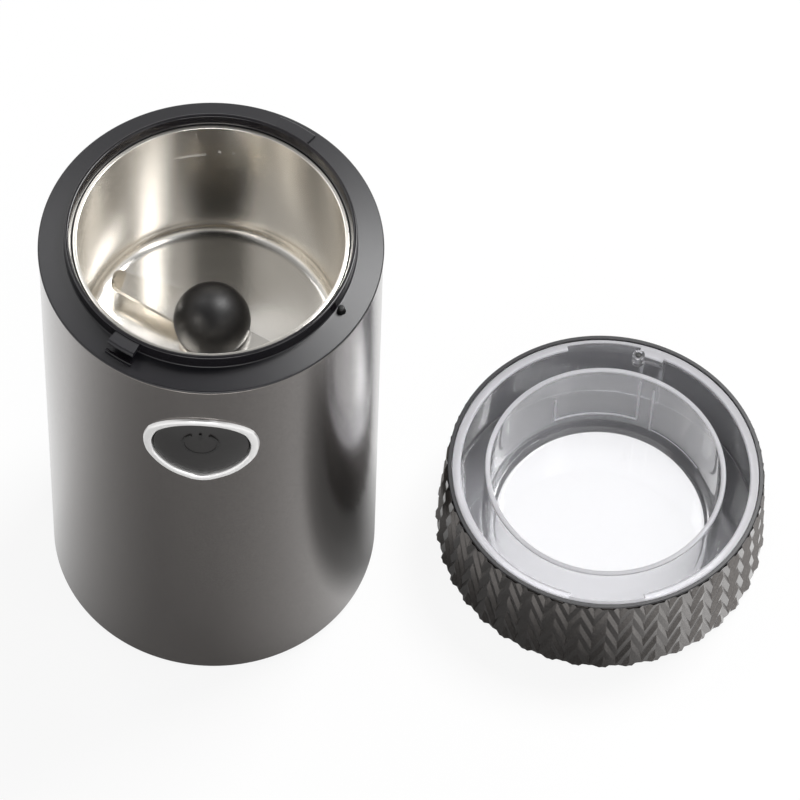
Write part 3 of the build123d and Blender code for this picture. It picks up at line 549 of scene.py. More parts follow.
loops = [(cap_inset, -SKIRT_DEPTH, 1.0), (cap_inset, BUTTON_PROUD - EDGE, 1.0)]
for step in range(1, ROUND_SEGMENTS + 1):
    corner = math.radians(90 * step / ROUND_SEGMENTS)
    loops.append((
        cap_inset + EDGE * (1 - math.cos(corner)), BUTTON_PROUD - EDGE * (1 - math.sin(corner)), 1.0
    ))
for step in range(1, FACE_STEPS):
    scale = 1 - step / FACE_STEPS
    loops.append((cap_inset + EDGE, crown_height(scale), scale))
cap = lay_on_body(outline_rings(loops, closed=False))
finish_piece("button_cap", cap, "push_button", (soft_touch,), "button")

# %% [markdown]
# ## The power mark
#
# The button carries the usual sign for on and off: a ring with a gap, and a short stroke in the gap. On the
# real part it is raised and worn smooth, so it is glossier than the face, and it is painted a little darker as
# painted shade along the raised mark. A small square section is spun part of a turn about the mark's middle,
# which gives a band with clean ends.

# %% Smooth plastic for the mark, painted darker as shade
# Smoother than the face, and painted a little darker as painted shade, so the mark shows as a faint dark line.
mark_gloss_painted_dark, tree, shader = finish_named("worn_button_plastic_painted_dark", {
    "Base Color": linear("#191817"), "Roughness": 0.3, "IOR": 1.5,
})
moulded_grain(tree, shader, grain_mm=0.4, height_mm=0.002, rough_low=0.25, rough_high=0.35)

# %% Spin the mark
MARK_R = 4.6
MARK_LINE = 0.7
MARK_GAP = 62.0
MARK_RISE = 2.7
MARK_PROUD = 0.15
MARK_DEPTH = 1.0            # how far the mark reaches into the button's face
MARK_STEPS = 48
MARK_STROKE = (2.6, 1.2)    # the stroke's length, and how far its middle lies above the ring's
mark_z = button_z + MARK_RISE
mark_out = crown_height(MARK_R / BUTTON_RISE) + MARK_PROUD
half = MARK_LINE / 2
mark = bmesh.new()
face = mark.faces.new([
    mark.verts.new((MARK_R + side * half, lift - mark_out, mark_z))
    for side, lift in ((-1, MARK_DEPTH), (1, MARK_DEPTH), (1, 0), (-1, 0))
])
bmesh.ops.rotate(
    mark, verts=mark.verts, cent=(0, 0, mark_z), matrix=Matrix.Rotation(math.radians(MARK_GAP / 2 - 90), 3, "Y")
)
bmesh.ops.spin(
    mark, geom=[face], cent=(0, 0, mark_z), axis=(0, 1, 0), angle=math.radians(360 - MARK_GAP),
    steps=MARK_STEPS, use_merge=False,
)
stroke = bmesh.new()
bmesh.ops.create_cube(stroke, size=1.0)
bmesh.ops.scale(stroke, verts=stroke.verts, vec=(MARK_LINE, MARK_DEPTH, MARK_STROKE[0]))
bmesh.ops.translate(
    stroke, verts=stroke.verts, vec=(0, MARK_DEPTH / 2 - mark_out, mark_z + MARK_R - MARK_STROKE[1])
)
add_shape(mark, stroke)
bmesh.ops.remove_doubles(mark, verts=mark.verts, dist=WELD_MM)
bmesh.ops.recalc_face_normals(mark, faces=mark.faces)
finish_piece("power_mark", lay_on_body(mark), "push_button", (mark_gloss_painted_dark,))

# %% [markdown]
# ## The black top ring
#
# One moulding carries the lid: a flat deck, and a raised neck with two lugs that the lid twists under. The
# deck is spark eroded and satin, and falls a little towards its edge, so that one side of it turns to the
# lamp. The neck is polished, and its rounded crest draws the thin light line in the photograph. Its section
# is drawn with a small rounding at each edge and spun. The lugs are swept through part of a circle.

# %% Black moulded plastic
# Spark-eroded ABS: the grain spreads the lamp over the deck, which turns it from black to a soft grey.
black_abs, tree, shader = finish_named("spark_eroded_black_abs", {
    "Base Color": linear("#141318"), "Roughness": 0.34, "IOR": 1.52,
})
moulded_grain(tree, shader, grain_mm=0.3, height_mm=0.004, rough_low=0.3, rough_high=0.38)

# The same ABS from a polished part of the mould: deep black, with sharp lights along its edges.
gloss_abs, tree, shader = finish_named("polished_black_abs", {
    "Base Color": linear("#151317"), "Roughness": 0.16, "IOR": 1.52,
})
moulded_grain(tree, shader, grain_mm=1.5, height_mm=0.004, rough_low=0.12, rough_high=0.22)

# %% Spin the ring
collar_high = box_mm("collar")[1]
bowl_low, bowl_high = box_mm("bowl")
BOWL_WALL = 0.6
LIP_REACH = 0.6
LIP_T = 0.8
bowl_r = bowl_high.x - BOWL_WALL - LIP_REACH
bowl_lip = bowl_high.z
BORE_GAP, BORE_WALL, BORE_DEPTH = 0.8, 1.8, 6.8
SEAT_STEP = 0.55        # the seat for the bowl's lip is this much wider than the bore
NECK_OUT, NECK_H, CREST = 3.2, 4.2, 1.0
EDGE_H, EDGE_WALL = 1.6, 0.8
WEB_DEPTH = 3.8
SPIGOT_WALL, SPIGOT_GAP, SPIGOT_DEPTH = 1.8, 0.2, 13.0
DECK_FALL = 1.0         # the deck slopes down outwards by this much
neck_top = collar_high.z
neck_r = bowl_r + NECK_OUT
deck_z = neck_top - NECK_H
land_z = deck_z - EDGE_H
bore_r = bowl_r + BORE_GAP
bore_back = bore_r + BORE_WALL
bore_low = bowl_lip - BORE_DEPTH
seat_r = bore_r + SEAT_STEP
spigot_r = TOP_R - WALL - SPIGOT_GAP
spigot_in = spigot_r - SPIGOT_WALL
spigot_low = collar_high.z - SPIGOT_DEPTH
web_z = deck_z - WEB_DEPTH

collar = spin_round(section([
    (bore_r, bore_low, 0), (bore_r, bowl_lip - LIP_T, 0), (seat_r, bowl_lip - LIP_T, 0),
    (seat_r, bowl_lip, 0.12),
    (neck_r - CREST, neck_top, 0.3), (neck_r, neck_top, 0.35), (neck_r, deck_z, 0.3),
    (COLLAR_R, deck_z - DECK_FALL, 0.4), (COLLAR_R, land_z, 0.2), (COLLAR_R - EDGE_WALL, land_z, 0),
    (COLLAR_R - EDGE_WALL, housing_high.z, 0), (spigot_r, housing_high.z, 0), (spigot_r, spigot_low, 0),
    (spigot_in, spigot_low, 0), (spigot_in, web_z, 0), (bore_back, web_z, 0), (bore_back, bore_low, 0),
]))

# %% Add the lugs, the screw posts and the pin's guide
LUGS = ((-120.5, 11.0), (60, 15.0))     # the middle and the width of each lug, in degrees
LUG_REACH = 3.6
RIB_REACH = (3.7, 4.6)  # a low rib on the deck in front of the foremost lug
RIB_TOP, RIB_FOOT = deck_z + 0.25, deck_z - 0.9
LUG_LOW, LUG_HIGH = deck_z + 2.3, deck_z + 3.7
POST_ANGLES = (45, 135, 225, 315)
POST_R, POST_BORE, POST_RING = 2.9, 1.4, TOP_R - 5.6
PIN_ANGLE, PIN_OUT = -28.3, 1.5
PIN_HOLE_R, PIN_GUIDE_R = 1.2, 2.7
SINK = 0.3              # how far a post reaches into what carries it
HAIR = 0.05             # a margin when faces are told apart by their place
GUIDE_FOOT = 15.4       # the pin's guide ends this far above the plate that holds the motor
POLISH_EDGE = 0.15
post_bottom = box_mm("carrier")[1].z
guide_bottom = post_bottom + GUIDE_FOOT


def rod(radius, bottom, top, reach, angle, segments=32):
    """An upright round bar at a distance from the axis and an angle round it, in degrees."""
    bm = bmesh.new()
    bmesh.ops.create_cone(
        bm, cap_ends=True, radius1=radius, radius2=radius, depth=top - bottom, segments=segments
    )
    turn = math.radians(angle)
    bmesh.ops.translate(
        bm, verts=bm.verts, vec=(reach * math.cos(turn), reach * math.sin(turn), (top + bottom) / 2)
    )
    return bm


def bored(radius, bore, bottom, top, reach, angle):
    """An upright bar with a bore right through it."""
    return combine(
        rod(radius, bottom, top, reach, angle), rod(bore, bottom - 1, top + 1, reach, angle), "DIFFERENCE"
    )


pin_ring = neck_r + PIN_OUT
collar = combine(collar, rod(PIN_HOLE_R, web_z - 1, neck_top, pin_ring, PIN_ANGLE), "DIFFERENCE")
add_shape(collar, bored(PIN_GUIDE_R, PIN_HOLE_R, guide_bottom, web_z + SINK, pin_ring, PIN_ANGLE))
for angle in POST_ANGLES:
    add_shape(collar, bored(POST_R, POST_BORE, post_bottom, web_z + SINK, POST_RING, angle))
for angle, width in LUGS:
    add_shape(collar, sector([
        (neck_r - CREST, LUG_LOW, 0), (neck_r + LUG_REACH, LUG_LOW, 0.25), (neck_r + LUG_REACH, LUG_HIGH, 0.7),
        (neck_r - CREST, LUG_HIGH, 0),
    ], angle, width))
rib_in, rib_out = (neck_r + reach for reach in RIB_REACH)
add_shape(collar, sector([
    (rib_in, RIB_FOOT, 0), (rib_out, RIB_FOOT, 0), (rib_out, RIB_TOP, 0.3), (rib_in, RIB_TOP, 0.3),
], *LUGS[0]))


def is_polished(face):
    """Whether a face of the ring comes from a polished part of the mould: the neck and the low rib."""
    spot = face.calc_center_median()
    if spot.xy.length < neck_r + POLISH_EDGE:
        return spot.z > bowl_lip
    return spot.xy.length > neck_r + LUG_REACH + HAIR and spot.z > deck_z + HAIR


finish_piece(
    "collar_ring", collar, "body", (black_abs, gloss_abs), "collar", second=is_polished
)

# %% [markdown]
# ## The steel bowl
#
# The bowl is drawn from stainless sheet and brushed while it turns, so every scratch runs round the axis. A
# surface like that smears each reflection across the scratches: up and down on the wall, and towards the
# middle on the floor. Cycles does this with an anisotropic shader, which needs to know which way the scratches
# run. A UV map whose U runs round the axis tells it, and carries the scratch pattern as well.

# %% A UV map round the axis
UV_MM = 100             # the length of one unit of V


def map_round(bm, name="round"):
    """A UV map whose U goes round the Z axis and whose V goes outwards and up the section."""
    layer = bm.loops.layers.uv.new(name)
    for face in bm.faces:
        middle = face.calc_center_median()
        centre = math.atan2(middle.y, middle.x)
        for loop in face.loops:
            spot = loop.vert.co
            radius = math.hypot(spot.x, spot.y)
            angle = math.atan2(spot.y, spot.x) if radius > 0.01 else centre
            angle += 2 * math.pi * round((centre - angle) / (2 * math.pi))
            loop[layer].uv = (angle / (2 * math.pi), (spot.z + radius) / UV_MM)
    return bm


# %% Brushed stainless steel
SCRATCH_MM = 0.25       # real scratches are finer; this is as fine as the picture can show
SCRATCHES_ROUND = 3.0   # how often the pattern changes on its way round
SCRATCH_HEIGHT, SCRATCH_STRENGTH = 0.001, 0.01
# The shader smears light along its tangent, but steel smears it across its scratches: a quarter of a turn.
ACROSS_SCRATCHES = 0.25


def brushed(name, colour, rough_low, rough_high):
    """Stainless steel brushed round its axis, read from the piece's own UV map."""
    material, tree, shader = finish_named(name, {
        "Base Color": linear(colour), "Metallic": 1.0, "Roughness": 0.3, "Anisotropic": 0.8,
        "Anisotropic Rotation": ACROSS_SCRATCHES,
    })
    where = add(tree, "ShaderNodeUVMap", uv_map="round")
    along = add(
        tree, "ShaderNodeMapping", {"Scale": (SCRATCHES_ROUND, UV_MM / SCRATCH_MM, 1.0)},
        {"Vector": where.outputs["UV"]},
    )
    scratches = add(
        tree, "ShaderNodeTexNoise", {"Scale": 1.0, "Detail": 2.0}, {"Vector": along.outputs["Vector"]}
    ).outputs["Fac"]
    tangent = add(tree, "ShaderNodeTangent", direction_type="UV_MAP", uv_map="round")
    tree.links.new(tangent.outputs["Tangent"], shader.inputs["Tangent"])
    uneven(tree, shader, scratches, (rough_low, rough_high), SCRATCH_HEIGHT, SCRATCH_STRENGTH, NOISE_SPAN)
    return material


# The wall's warm grey bands run straight up. The floor has its own copy of the steel, painted a little whiter
# as painted light for the stronger light that falls on it.
bowl_steel = brushed("brushed_stainless_bowl", "#efebe4", 0.19, 0.23)
floor_steel_painted_light = brushed("turned_stainless_floor_painted_light", "#fbf8f3", 0.2, 0.24)

# %% Spin the bowl and add the fill marks
BOWL_DEPTH = 48.0
BOWL_CORNER = 3.5
HOLE_R = 5.8
MARK_DROP = 12.5        # the fill marks lie this far below the lip
BEAD_IN, BEAD_BACK = 0.3, 0.2
FILL_LINE, LINE_HEIGHT = (103.0, 14.0), 0.7
FILL_TICKS, TICK_WIDTH, TICK_HEIGHT = (72.0, 78.0, 84.0, 90.0), 1.2, 3.0
bowl_floor = bowl_lip - BOWL_DEPTH
bowl_back = bowl_r + BOWL_WALL

bowl = spin_round(section([
    (HOLE_R, bowl_floor, 0), (bowl_r, bowl_floor, BOWL_CORNER), (bowl_r, bowl_lip, 0.25),
    (bowl_high.x, bowl_lip, 0.3), (bowl_high.x, bowl_lip - LIP_T, 0.1), (bowl_back, bowl_lip - LIP_T, 0),
    (bowl_back, bowl_low.z, BOWL_CORNER + BOWL_WALL), (HOLE_R, bowl_low.z, 0),
]))


def wall_bead(centre, width, height):
    """A bead pressed inwards from the bowl's wall."""
    middle = bowl_lip - MARK_DROP
    return sector([
        (bowl_r - BEAD_IN, middle - height / 2, 0.1), (bowl_r + BEAD_BACK, middle - height / 2, 0),
        (bowl_r + BEAD_BACK, middle + height / 2, 0), (bowl_r - BEAD_IN, middle + height / 2, 0.1),
    ], centre, width)


def is_floor(face):
    """Whether a face belongs to the flat floor inside the bowl."""
    return face.calc_center_median().z < bowl_floor + 1.0 and face.normal.z > 0.8


add_shape(bowl, wall_bead(*FILL_LINE, LINE_HEIGHT))
for centre in FILL_TICKS:
    add_shape(bowl, wall_bead(centre, TICK_WIDTH, TICK_HEIGHT))
finish_piece(
    "bowl_liner", map_round(bowl), "body", (bowl_steel, floor_steel_painted_light), "bowl", second=is_floor
)

# %% [markdown]
# ## Hub, blade and knob
#
# The blade is stamped from thin hard steel, its wings ground along the edge and bent down at the tips. It is
# drawn as one flat wing, cut along the fold, thickened, and its tip turned down about the fold. The other wing
# is the same wing turned half round. The knob is a rubber ball that hides the screw.

# %% Polished blade steel
# Ground lengthwise after it was stamped: bright, with a faint streak along each wing.
GRIND_MM, GRIND_STRETCH, GRIND_TURN = 0.3, 0.06, -60
blade_steel, tree, shader = finish_named("ground_blade_steel", {
    "Base Color": linear("#efebe4"), "Metallic": 1.0, "Roughness": 0.2,
})
where = add(tree, "ShaderNodeTexCoord")
along = add(
    tree, "ShaderNodeMapping",
    {"Rotation": (0, 0, math.radians(GRIND_TURN)), "Scale": (GRIND_STRETCH, 1.0, 1.0)},
    {"Vector": where.outputs["Object"]},
)
grind = add(
    tree, "ShaderNodeTexNoise", {"Scale": per_metre(GRIND_MM), "Detail": 2.0},
    {"Vector": along.outputs["Vector"]},
).outputs["Fac"]
uneven(tree, shader, grind, (0.16, 0.24), height_mm=0.003, strength=0.1)

# %% Make the hub
SMALL_STEPS = 96        # small turned pieces need fewer steps round
hub_low, hub_high = box_mm("blade_hub")
HUB_R, HUB_COLLAR_R, HUB_FLANGE = hub_high.x, 6.5, 1.2
hub = spin_round(section([
    (0, hub_low.z, 0), (HUB_R, hub_low.z, 0.2), (HUB_R, hub_low.z + HUB_FLANGE, 0.3),
    (HUB_COLLAR_R, hub_low.z + HUB_FLANGE, 0.3), (HUB_COLLAR_R, hub_high.z, 0), (0, hub_high.z, 0),
], closed=False), SMALL_STEPS)
# Turned like the bowl, but coarser and duller, so it stays in the background.
hub_steel = brushed("turned_hub_steel", "#dcd8d1", 0.2, 0.3)
finish_piece("hub", map_round(hub), "rotor", (hub_steel,), "blade_hub")

# %% Cut the blade, bend its tips and grind its edges
BLADE_ANGLE = 150.5
BLADE_T = 1.4
WING = ((0, 4.2), (26.5, 4.2), (28.3, -1.6), (11.0, -6.0), (0, -6.0))
FOLD = (Vector((26.5, 4.2, 0)), Vector((28.3, -1.6, 0)))
TIP_LENGTH, TIP_DROOP, TIP_ROUND = 3.0, 45.0, 2.0
EDGE_GRIND = 0.25
RIM_ANGLE = 60          # an edge that turns by more than this, in degrees, is ground
MIDDLE_SINK = 0.02      # the round middle stays this far inside the blade's faces
blade_bottom = hub_high.z

fold_along = (FOLD[1] - FOLD[0]).normalized()
fold_out = Vector((-fold_along.y, fold_along.x, 0))
blade = bmesh.new()
shape = [Vector((x, y, 0)) for x, y in WING]
shape[2:2] = [FOLD[0] + fold_out * TIP_LENGTH, FOLD[1] + fold_out * TIP_LENGTH]
verts = [blade.verts.new(p) for p in shape]
blade.faces.new(verts)
bmesh.ops.bevel(
    blade, geom=[verts[2], verts[3]], offset=TIP_ROUND, offset_type="OFFSET", segments=5, profile=0.5,
    affect="VERTICES", material=-1,
)
bmesh.ops.bisect_plane(
    blade, geom=blade.verts[:] + blade.edges[:] + blade.faces[:], plane_co=FOLD[0], plane_no=fold_out
)
lift = bmesh.ops.extrude_face_region(blade, geom=blade.faces[:])
bmesh.ops.translate(
    blade, verts=[v for v in lift["geom"] if isinstance(v, bmesh.types.BMVert)], vec=(0, 0, BLADE_T)
)
tip = [v for v in blade.verts if (v.co - FOLD[0]).dot(fold_out) > 0.01]
bmesh.ops.rotate(
    blade, verts=tip, cent=FOLD[0] + Vector((0, 0, BLADE_T)),
    matrix=Matrix.Rotation(math.radians(TIP_DROOP), 3, fold_along),
)
bmesh.ops.recalc_face_normals(blade, faces=blade.faces)
rim = [e for e in blade.edges if len(e.link_faces) == 2 and e.calc_face_angle(0) > math.radians(RIM_ANGLE)]
bmesh.ops.bevel(
    blade, geom=rim, offset=EDGE_GRIND, offset_type="OFFSET", segments=2, profile=0.5, affect="EDGES",
    material=-1, clamp_overlap=True,
)
other_wing = blade.copy()
bmesh.ops.rotate(other_wing, verts=other_wing.verts, matrix=Matrix.Rotation(math.pi, 3, "Z"))
add_shape(blade, other_wing)
add_shape(blade, rod(HUB_R, MIDDLE_SINK, BLADE_T - MIDDLE_SINK, 0, 0, segments=64))
bmesh.ops.rotate(blade, verts=blade.verts, matrix=Matrix.Rotation(math.radians(BLADE_ANGLE), 3, "Z"))
bmesh.ops.translate(blade, verts=blade.verts, vec=(0, 0, blade_bottom))
finish_piece("blade_wings", blade, "rotor", (blade_steel,), "blade")

# %% Make the knob
# Moulded rubber from a blasted mould: the coarse grain keeps its light wide and dull.
rubber, tree, shader = finish_named("satin_black_rubber", {
    "Base Color": linear("#0b090b"), "Roughness": 0.46, "IOR": 1.5,
})
moulded_grain(tree, shader, grain_mm=0.5, height_mm=0.010, rough_low=0.4, rough_high=0.52)

knob_low, knob_high = box_mm("knob")
KNOB_R = knob_high.x
KNOB_STEPS = 44
knob_z = knob_high.z - KNOB_R
foot_r = math.sqrt(KNOB_R ** 2 - (knob_z - knob_low.z) ** 2)
knob = bmesh.new()
foot = arc(knob, (foot_r, knob_low.z), (KNOB_R, knob_z), (0, knob_high.z), KNOB_STEPS)
centre = knob.verts.new((0, 0, knob_low.z))
knob.edges.new((centre, foot))
finish_piece("knob_ball", spin_round(knob, SMALL_STEPS), "rotor", (rubber,), "knob")

# %% [markdown]
# ## The lid's grip band
#
# The band round the lid is moulded with pleats, like a folded paper shade, and with stepped ridges that run up
# one side of each pleat and down the other, so they read as a zigzag. A bump map would fake this, but the
# pleats break the rim's outline, so they are real. One pleat is made flat from a grid whose rows are bent into
# the zigzag, cut level at the top and bottom, rolled on to the cone, and then repeated round it.

# %% One lacquer for the band
# Darker than the housing's, so that the folds read as black lines between the ridges' grey faces.
band_lacquer = flake_lacquer(
    "metallic_lacquer_on_moulded_abs", "#5b5755", "#7a7673", 1.0, {"Roughness": 0.24, "Coat Weight": 0.6}
)[0]

# %% Values of the band
BAND_MARGIN = 0.05      # the crests just reach the box of the CAD's band
BAND_TAPER = 2.2
grip_low, grip_high = box_mm("lid_grip")
LID_X, LID_Y = (grip_low.x + grip_high.x) / 2, (grip_low.y + grip_high.y) / 2
LID_TOP_R = (grip_high.x - grip_low.x) / 2 + BAND_MARGIN
LID_RIM_R = LID_TOP_R - BAND_TAPER
LID_H = grip_high.z
GRIP_WALL = 1.7
PLEATS = 39
PLEAT_DEPTH = 0.6
ZIGZAG_RISE = 9.3
RIDGE_PITCH = 7.7
RIDGE_DEPTH = 0.6
# Each level is a share of the pitch and a share of the depth: a slow slope, then a step.
RIDGE_LEVELS = ((0.0, 1.0), (0.62, 0.0))
FOLD_SHARES = (0.0, 0.06, 0.44, 0.5, 0.56, 0.94, 1.0)
FOLD_EASE = 0.03
BAND_Z = (1.0, LID_H - 0.9)
BAND_WELD = 0.002


def lid_radius(z):
    """The band's outer radius at a height."""
    return LID_TOP_R + (LID_RIM_R - LID_TOP_R) * z / LID_H


# %% Make one pleat flat, then roll and repeat it
band = bmesh.new()
rows = []
row_z = -2 * ZIGZAG_RISE
while row_z < LID_H + RIDGE_PITCH:
    rows += [(row_z + share * RIDGE_PITCH, depth * RIDGE_DEPTH) for share, depth in RIDGE_LEVELS]
    row_z += RIDGE_PITCH
bmesh.ops.create_grid(band, x_segments=len(FOLD_SHARES) - 1, y_segments=len(rows) - 1, size=1.0)
for vert in band.verts:
    column = round((vert.co.x + 1) / 2 * (len(FOLD_SHARES) - 1))
    z, ridge = rows[round((vert.co.y + 1) / 2 * (len(rows) - 1))]
    share = FOLD_SHARES[column]
    from_crest = max(abs(2 * share - 1), FOLD_EASE)
    vert.co = (share, PLEAT_DEPTH * from_crest + ridge, z + ZIGZAG_RISE * (1 - abs(2 * share - 1)))
for height, side in ((BAND_Z[0], -1), (BAND_Z[1], 1)):
    bmesh.ops.bisect_plane(
        band, geom=band.verts[:] + band.edges[:] + band.faces[:], plane_co=(0, 0, height),
        plane_no=(0, 0, side), clear_outer=True,
    )
pleat_angle = 2 * math.pi / PLEATS
for vert in band.verts:
    angle, radius = vert.co.x * pleat_angle, lid_radius(vert.co.z) - vert.co.y
    vert.co = (radius * math.cos(angle), radius * math.sin(angle), vert.co.z)
bmesh.ops.spin(
    band, geom=band.verts[:] + band.edges[:] + band.faces[:], cent=(0, 0, 0), axis=(0, 0, 1),
    angle=pleat_angle * (PLEATS - 1), steps=PLEATS - 1, use_duplicate=True,
)
bmesh.ops.remove_doubles(band, verts=band.verts, dist=BAND_WELD)
print("band surface:", len(band.faces), "faces")

# %% Close the band with its rim and its inner wall
def carry_loop(bm, edges, radius, height):
    """Extrudes a loop of edges and lays the new loop on a level circle."""
    new = bmesh.ops.extrude_edge_only(bm, edges=edges)["geom"]
    for vert in (g for g in new if isinstance(g, bmesh.types.BMVert)):
        flat = Vector((vert.co.x, vert.co.y, 0)).normalized() * radius
        vert.co = (flat.x, flat.y, height)
    edges = (g for g in new if isinstance(g, bmesh.types.BMEdge))
    return [e for e in edges if all(abs(v.co.z - height) < 1e-4 for v in e.verts)]


RIM_BACK, CHAMFER, INNER_CHAMFER = 0.5, 0.2, 0.15
GROOVE, GROOVE_H = 0.6, 0.35            # the groove between the pleats and the rim
FLANGE_T, FLANGE_REACH = 0.72, 14.0     # a hair thinner than the CAD's, so it doesn't touch the clear plate
FLANGE_CHAMFER, FOOT_BACK = 0.1, 0.8
rim_r = LID_RIM_R - RIM_BACK
rim_in = LID_RIM_R - GRIP_WALL
groove_r = rim_r - GROOVE
low_in = lid_radius(FLANGE_T) - GRIP_WALL
flange_in = low_in - FLANGE_REACH
loop = [e for e in band.edges if e.is_boundary and e.verts[0].co.z > LID_H / 2]
bottom = [e for e in band.edges if e.is_boundary and e.verts[0].co.z < LID_H / 2]
for radius, height in (
    (groove_r, BAND_Z[1] - GROOVE_H), (groove_r, BAND_Z[1]), (rim_r, LID_H - 2 * CHAMFER),
    (rim_r, LID_H - CHAMFER), (rim_r - CHAMFER, LID_H),
    (rim_in + INNER_CHAMFER, LID_H), (rim_in, LID_H - INNER_CHAMFER),
    (low_in, FLANGE_T), (flange_in + FLANGE_CHAMFER, FLANGE_T), (flange_in, FLANGE_T - FLANGE_CHAMFER),
    (flange_in, FLANGE_CHAMFER), (flange_in + FLANGE_CHAMFER, 0.0), (LID_TOP_R - PLEAT_DEPTH - FOOT_BACK, 0.0),
):
    loop = carry_loop(band, loop, radius, height)
bmesh.ops.bridge_loops(band, edges=loop + bottom)
bmesh.ops.recalc_face_normals(band, faces=band.faces)
bmesh.ops.translate(band, verts=band.verts, vec=(LID_X, LID_Y, 0))
lid_axis = Vector((LID_X, LID_Y))
BARE_MARGIN = 0.1
PLEAT_SHARP = 12        # the folds are shallow, so even a small turn between faces is a crease


def is_bare(face):
    """Whether a face of the band is left unlacquered: its rim and its inside."""
    spot = face.calc_center_median()
    inside = (spot.xy - lid_axis).length < lid_radius(spot.z) - GRIP_WALL + BARE_MARGIN
    return inside or spot.z > BAND_Z[1] - BARE_MARGIN


finish_piece(
    "lid_band", band, "lid", (band_lacquer, black_abs), "lid_grip", sharp=PLEAT_SHARP,
    second=is_bare,
)

# %% [markdown]
# ## The clear cover
#
# The clear part of the lid is one moulding: a flat window, a wall that dips into the bowl, and a skirt with
# broken ledges that catch the collar's lugs. Light passes through several walls one behind another, so a
# surface inside the plastic would show as a false edge. The ledges are therefore joined with a Boolean, and
# don't just overlap the skirt.

# %% Clear styrene plastic
# Clear and glossy, but not quite flat: the plastic flowed into its mould, so it bends what lies behind it.
FLOW_MM, FLOW_HEIGHT = 14.0, 0.008
BLAST_MM = 6.0

clear, tree, shader = finish_named("clear_styrene_acrylonitrile", {
    "Base Color": linear("#fafafc"), "Roughness": 0.02, "IOR": 1.49, "Transmission Weight": 0.93,
})
flow = texture(tree, "ShaderNodeTexNoise", FLOW_MM, {"Detail": 1.0})
bump = add(
    tree, "ShaderNodeBump", {"Strength": 1.0, "Distance": FLOW_HEIGHT * MM}, {"Height": flow.outputs["Fac"]}
)
tree.links.new(bump.outputs["Normal"], shader.inputs["Normal"])
rays = add(tree, "ShaderNodeLightPath")
through = add(tree, "ShaderNodeBsdfTransparent", {"Color": linear("#f6f6f8")})
mixed = add(tree, "ShaderNodeMixShader", None, {
    0: rays.outputs["Is Shadow Ray"], 1: shader.outputs["BSDF"], 2: through.outputs["BSDF"]
})
tree.links.new(mixed.outputs["Shader"], tree.nodes["Material Output"].inputs["Surface"])

# The same plastic where the mould was blasted, on rims and ledges: milky, so it shows as pale lines.
etched, tree, shader = finish_named("blasted_clear_styrene", {
    "Base Color": linear("#f0eff4"), "Roughness": 0.3, "IOR": 1.49, "Transmission Weight": 0.6,
})
blast = texture(tree, "ShaderNodeTexNoise", BLAST_MM, {"Detail": 1.0})
uneven(tree, shader, blast.outputs["Fac"], (0.27, 0.33))

# %% Spin the cover and join its ledges
cover_low, cover_high = box_mm("lid_cover")
PLATE_T = 2.0
SKIRT_T = 1.1
INNER_R, INNER_WALL = bowl_r - 1.0, 1.5
STEP_R, STEP_H = bowl_r - 4.4, 1.5
LEDGE_R, LEDGE_T = neck_r + 2.5, 1.6
LEDGES = ((2, 151), (182, 151))
TAB = (72.0, 9.5)
TAB_R, TAB_DEPTH = neck_r + 1.4, 3.6
RIB_R, RIB_BOTTOM, RIB_WIDTH = neck_r + 2.6, 6.0, 1.6
SKIRT_GAP = 0.1                         # between the skirt and the band round it
LEDGE_SINK, TAB_SINK = 0.01, 0.02       # what is joined on stops this far below the rim
RIB_OVERLAP, CUT_OVER = 0.5, 1.0
cover_rim = cover_high.z
plate_top = cover_low.z + PLATE_T
skirt_low = lid_radius(cover_low.z) - GRIP_WALL - SKIRT_GAP
skirt_rim = lid_radius(cover_rim) - GRIP_WALL - SKIRT_GAP
skirt_slope = (skirt_rim - skirt_low) / (cover_rim - cover_low.z)
wall_mid = skirt_rim - SKIRT_T / 2

cover = spin_round(section([
    (0, cover_low.z, 0), (skirt_low, cover_low.z, 0.3), (skirt_rim, cover_rim, 0.25),
    (skirt_rim - SKIRT_T, cover_rim, 0.25), (skirt_low + skirt_slope * PLATE_T - SKIRT_T, plate_top, 0.8),
    (INNER_R, plate_top, 0.8), (INNER_R, cover_rim, 0.35), (INNER_R - INNER_WALL, cover_rim, 0.35),
    (INNER_R - INNER_WALL, plate_top + STEP_H, 0.4), (STEP_R, plate_top + STEP_H, 0.3),
    (STEP_R - STEP_H, plate_top, 0.3), (0, plate_top, 0),
], closed=False))
for centre, width in LEDGES:
    cover = combine(cover, sector([
        (LEDGE_R, cover_rim - LEDGE_T, 0.3), (wall_mid, cover_rim - LEDGE_T, 0),
        (wall_mid, cover_rim - LEDGE_SINK, 0), (LEDGE_R, cover_rim - LEDGE_SINK, 0.5),
    ], centre, width), "UNION")
tab_low, tab_top = cover_rim - TAB_DEPTH, cover_rim - TAB_SINK
cover = combine(cover, sector([
    (TAB_R, tab_low, 0.3), (wall_mid, tab_low, 0), (wall_mid, tab_top, 0), (TAB_R, tab_top, 0.3),
], *TAB), "UNION")
for side in (-1, 1):
    cover = combine(cover, sector([
        (RIB_R, RIB_BOTTOM, 0), (wall_mid, RIB_BOTTOM, 0), (wall_mid, tab_low + RIB_OVERLAP, 0),
        (RIB_R, tab_low + RIB_OVERLAP, 0),
    ], TAB[0] + side * (TAB[1] - RIB_WIDTH) / 2, RIB_WIDTH), "UNION")
PEG_ANGLE, PEG_R, PEG_BOSS_R, PEG_GRIP = 77.7, 0.95, 1.8, 3.0
cover = combine(cover, rod(PEG_BOSS_R, tab_low, tab_top, pin_ring, PEG_ANGLE), "UNION")
hole = rod(PEG_R, cover_rim - PEG_GRIP, cover_rim + CUT_OVER, pin_ring, PEG_ANGLE)
cover = combine(cover, hole, "DIFFERENCE")

# %% Raise the fine lines on the inner wall
WALL_IN = INNER_R - INNER_WALL
LINE_PROUD, LINE_ROOT, LINE_MM = 0.3, 0.3, 0.5
LINE_TURN = math.degrees(LINE_MM / WALL_IN)     # the angle that an upright line takes up
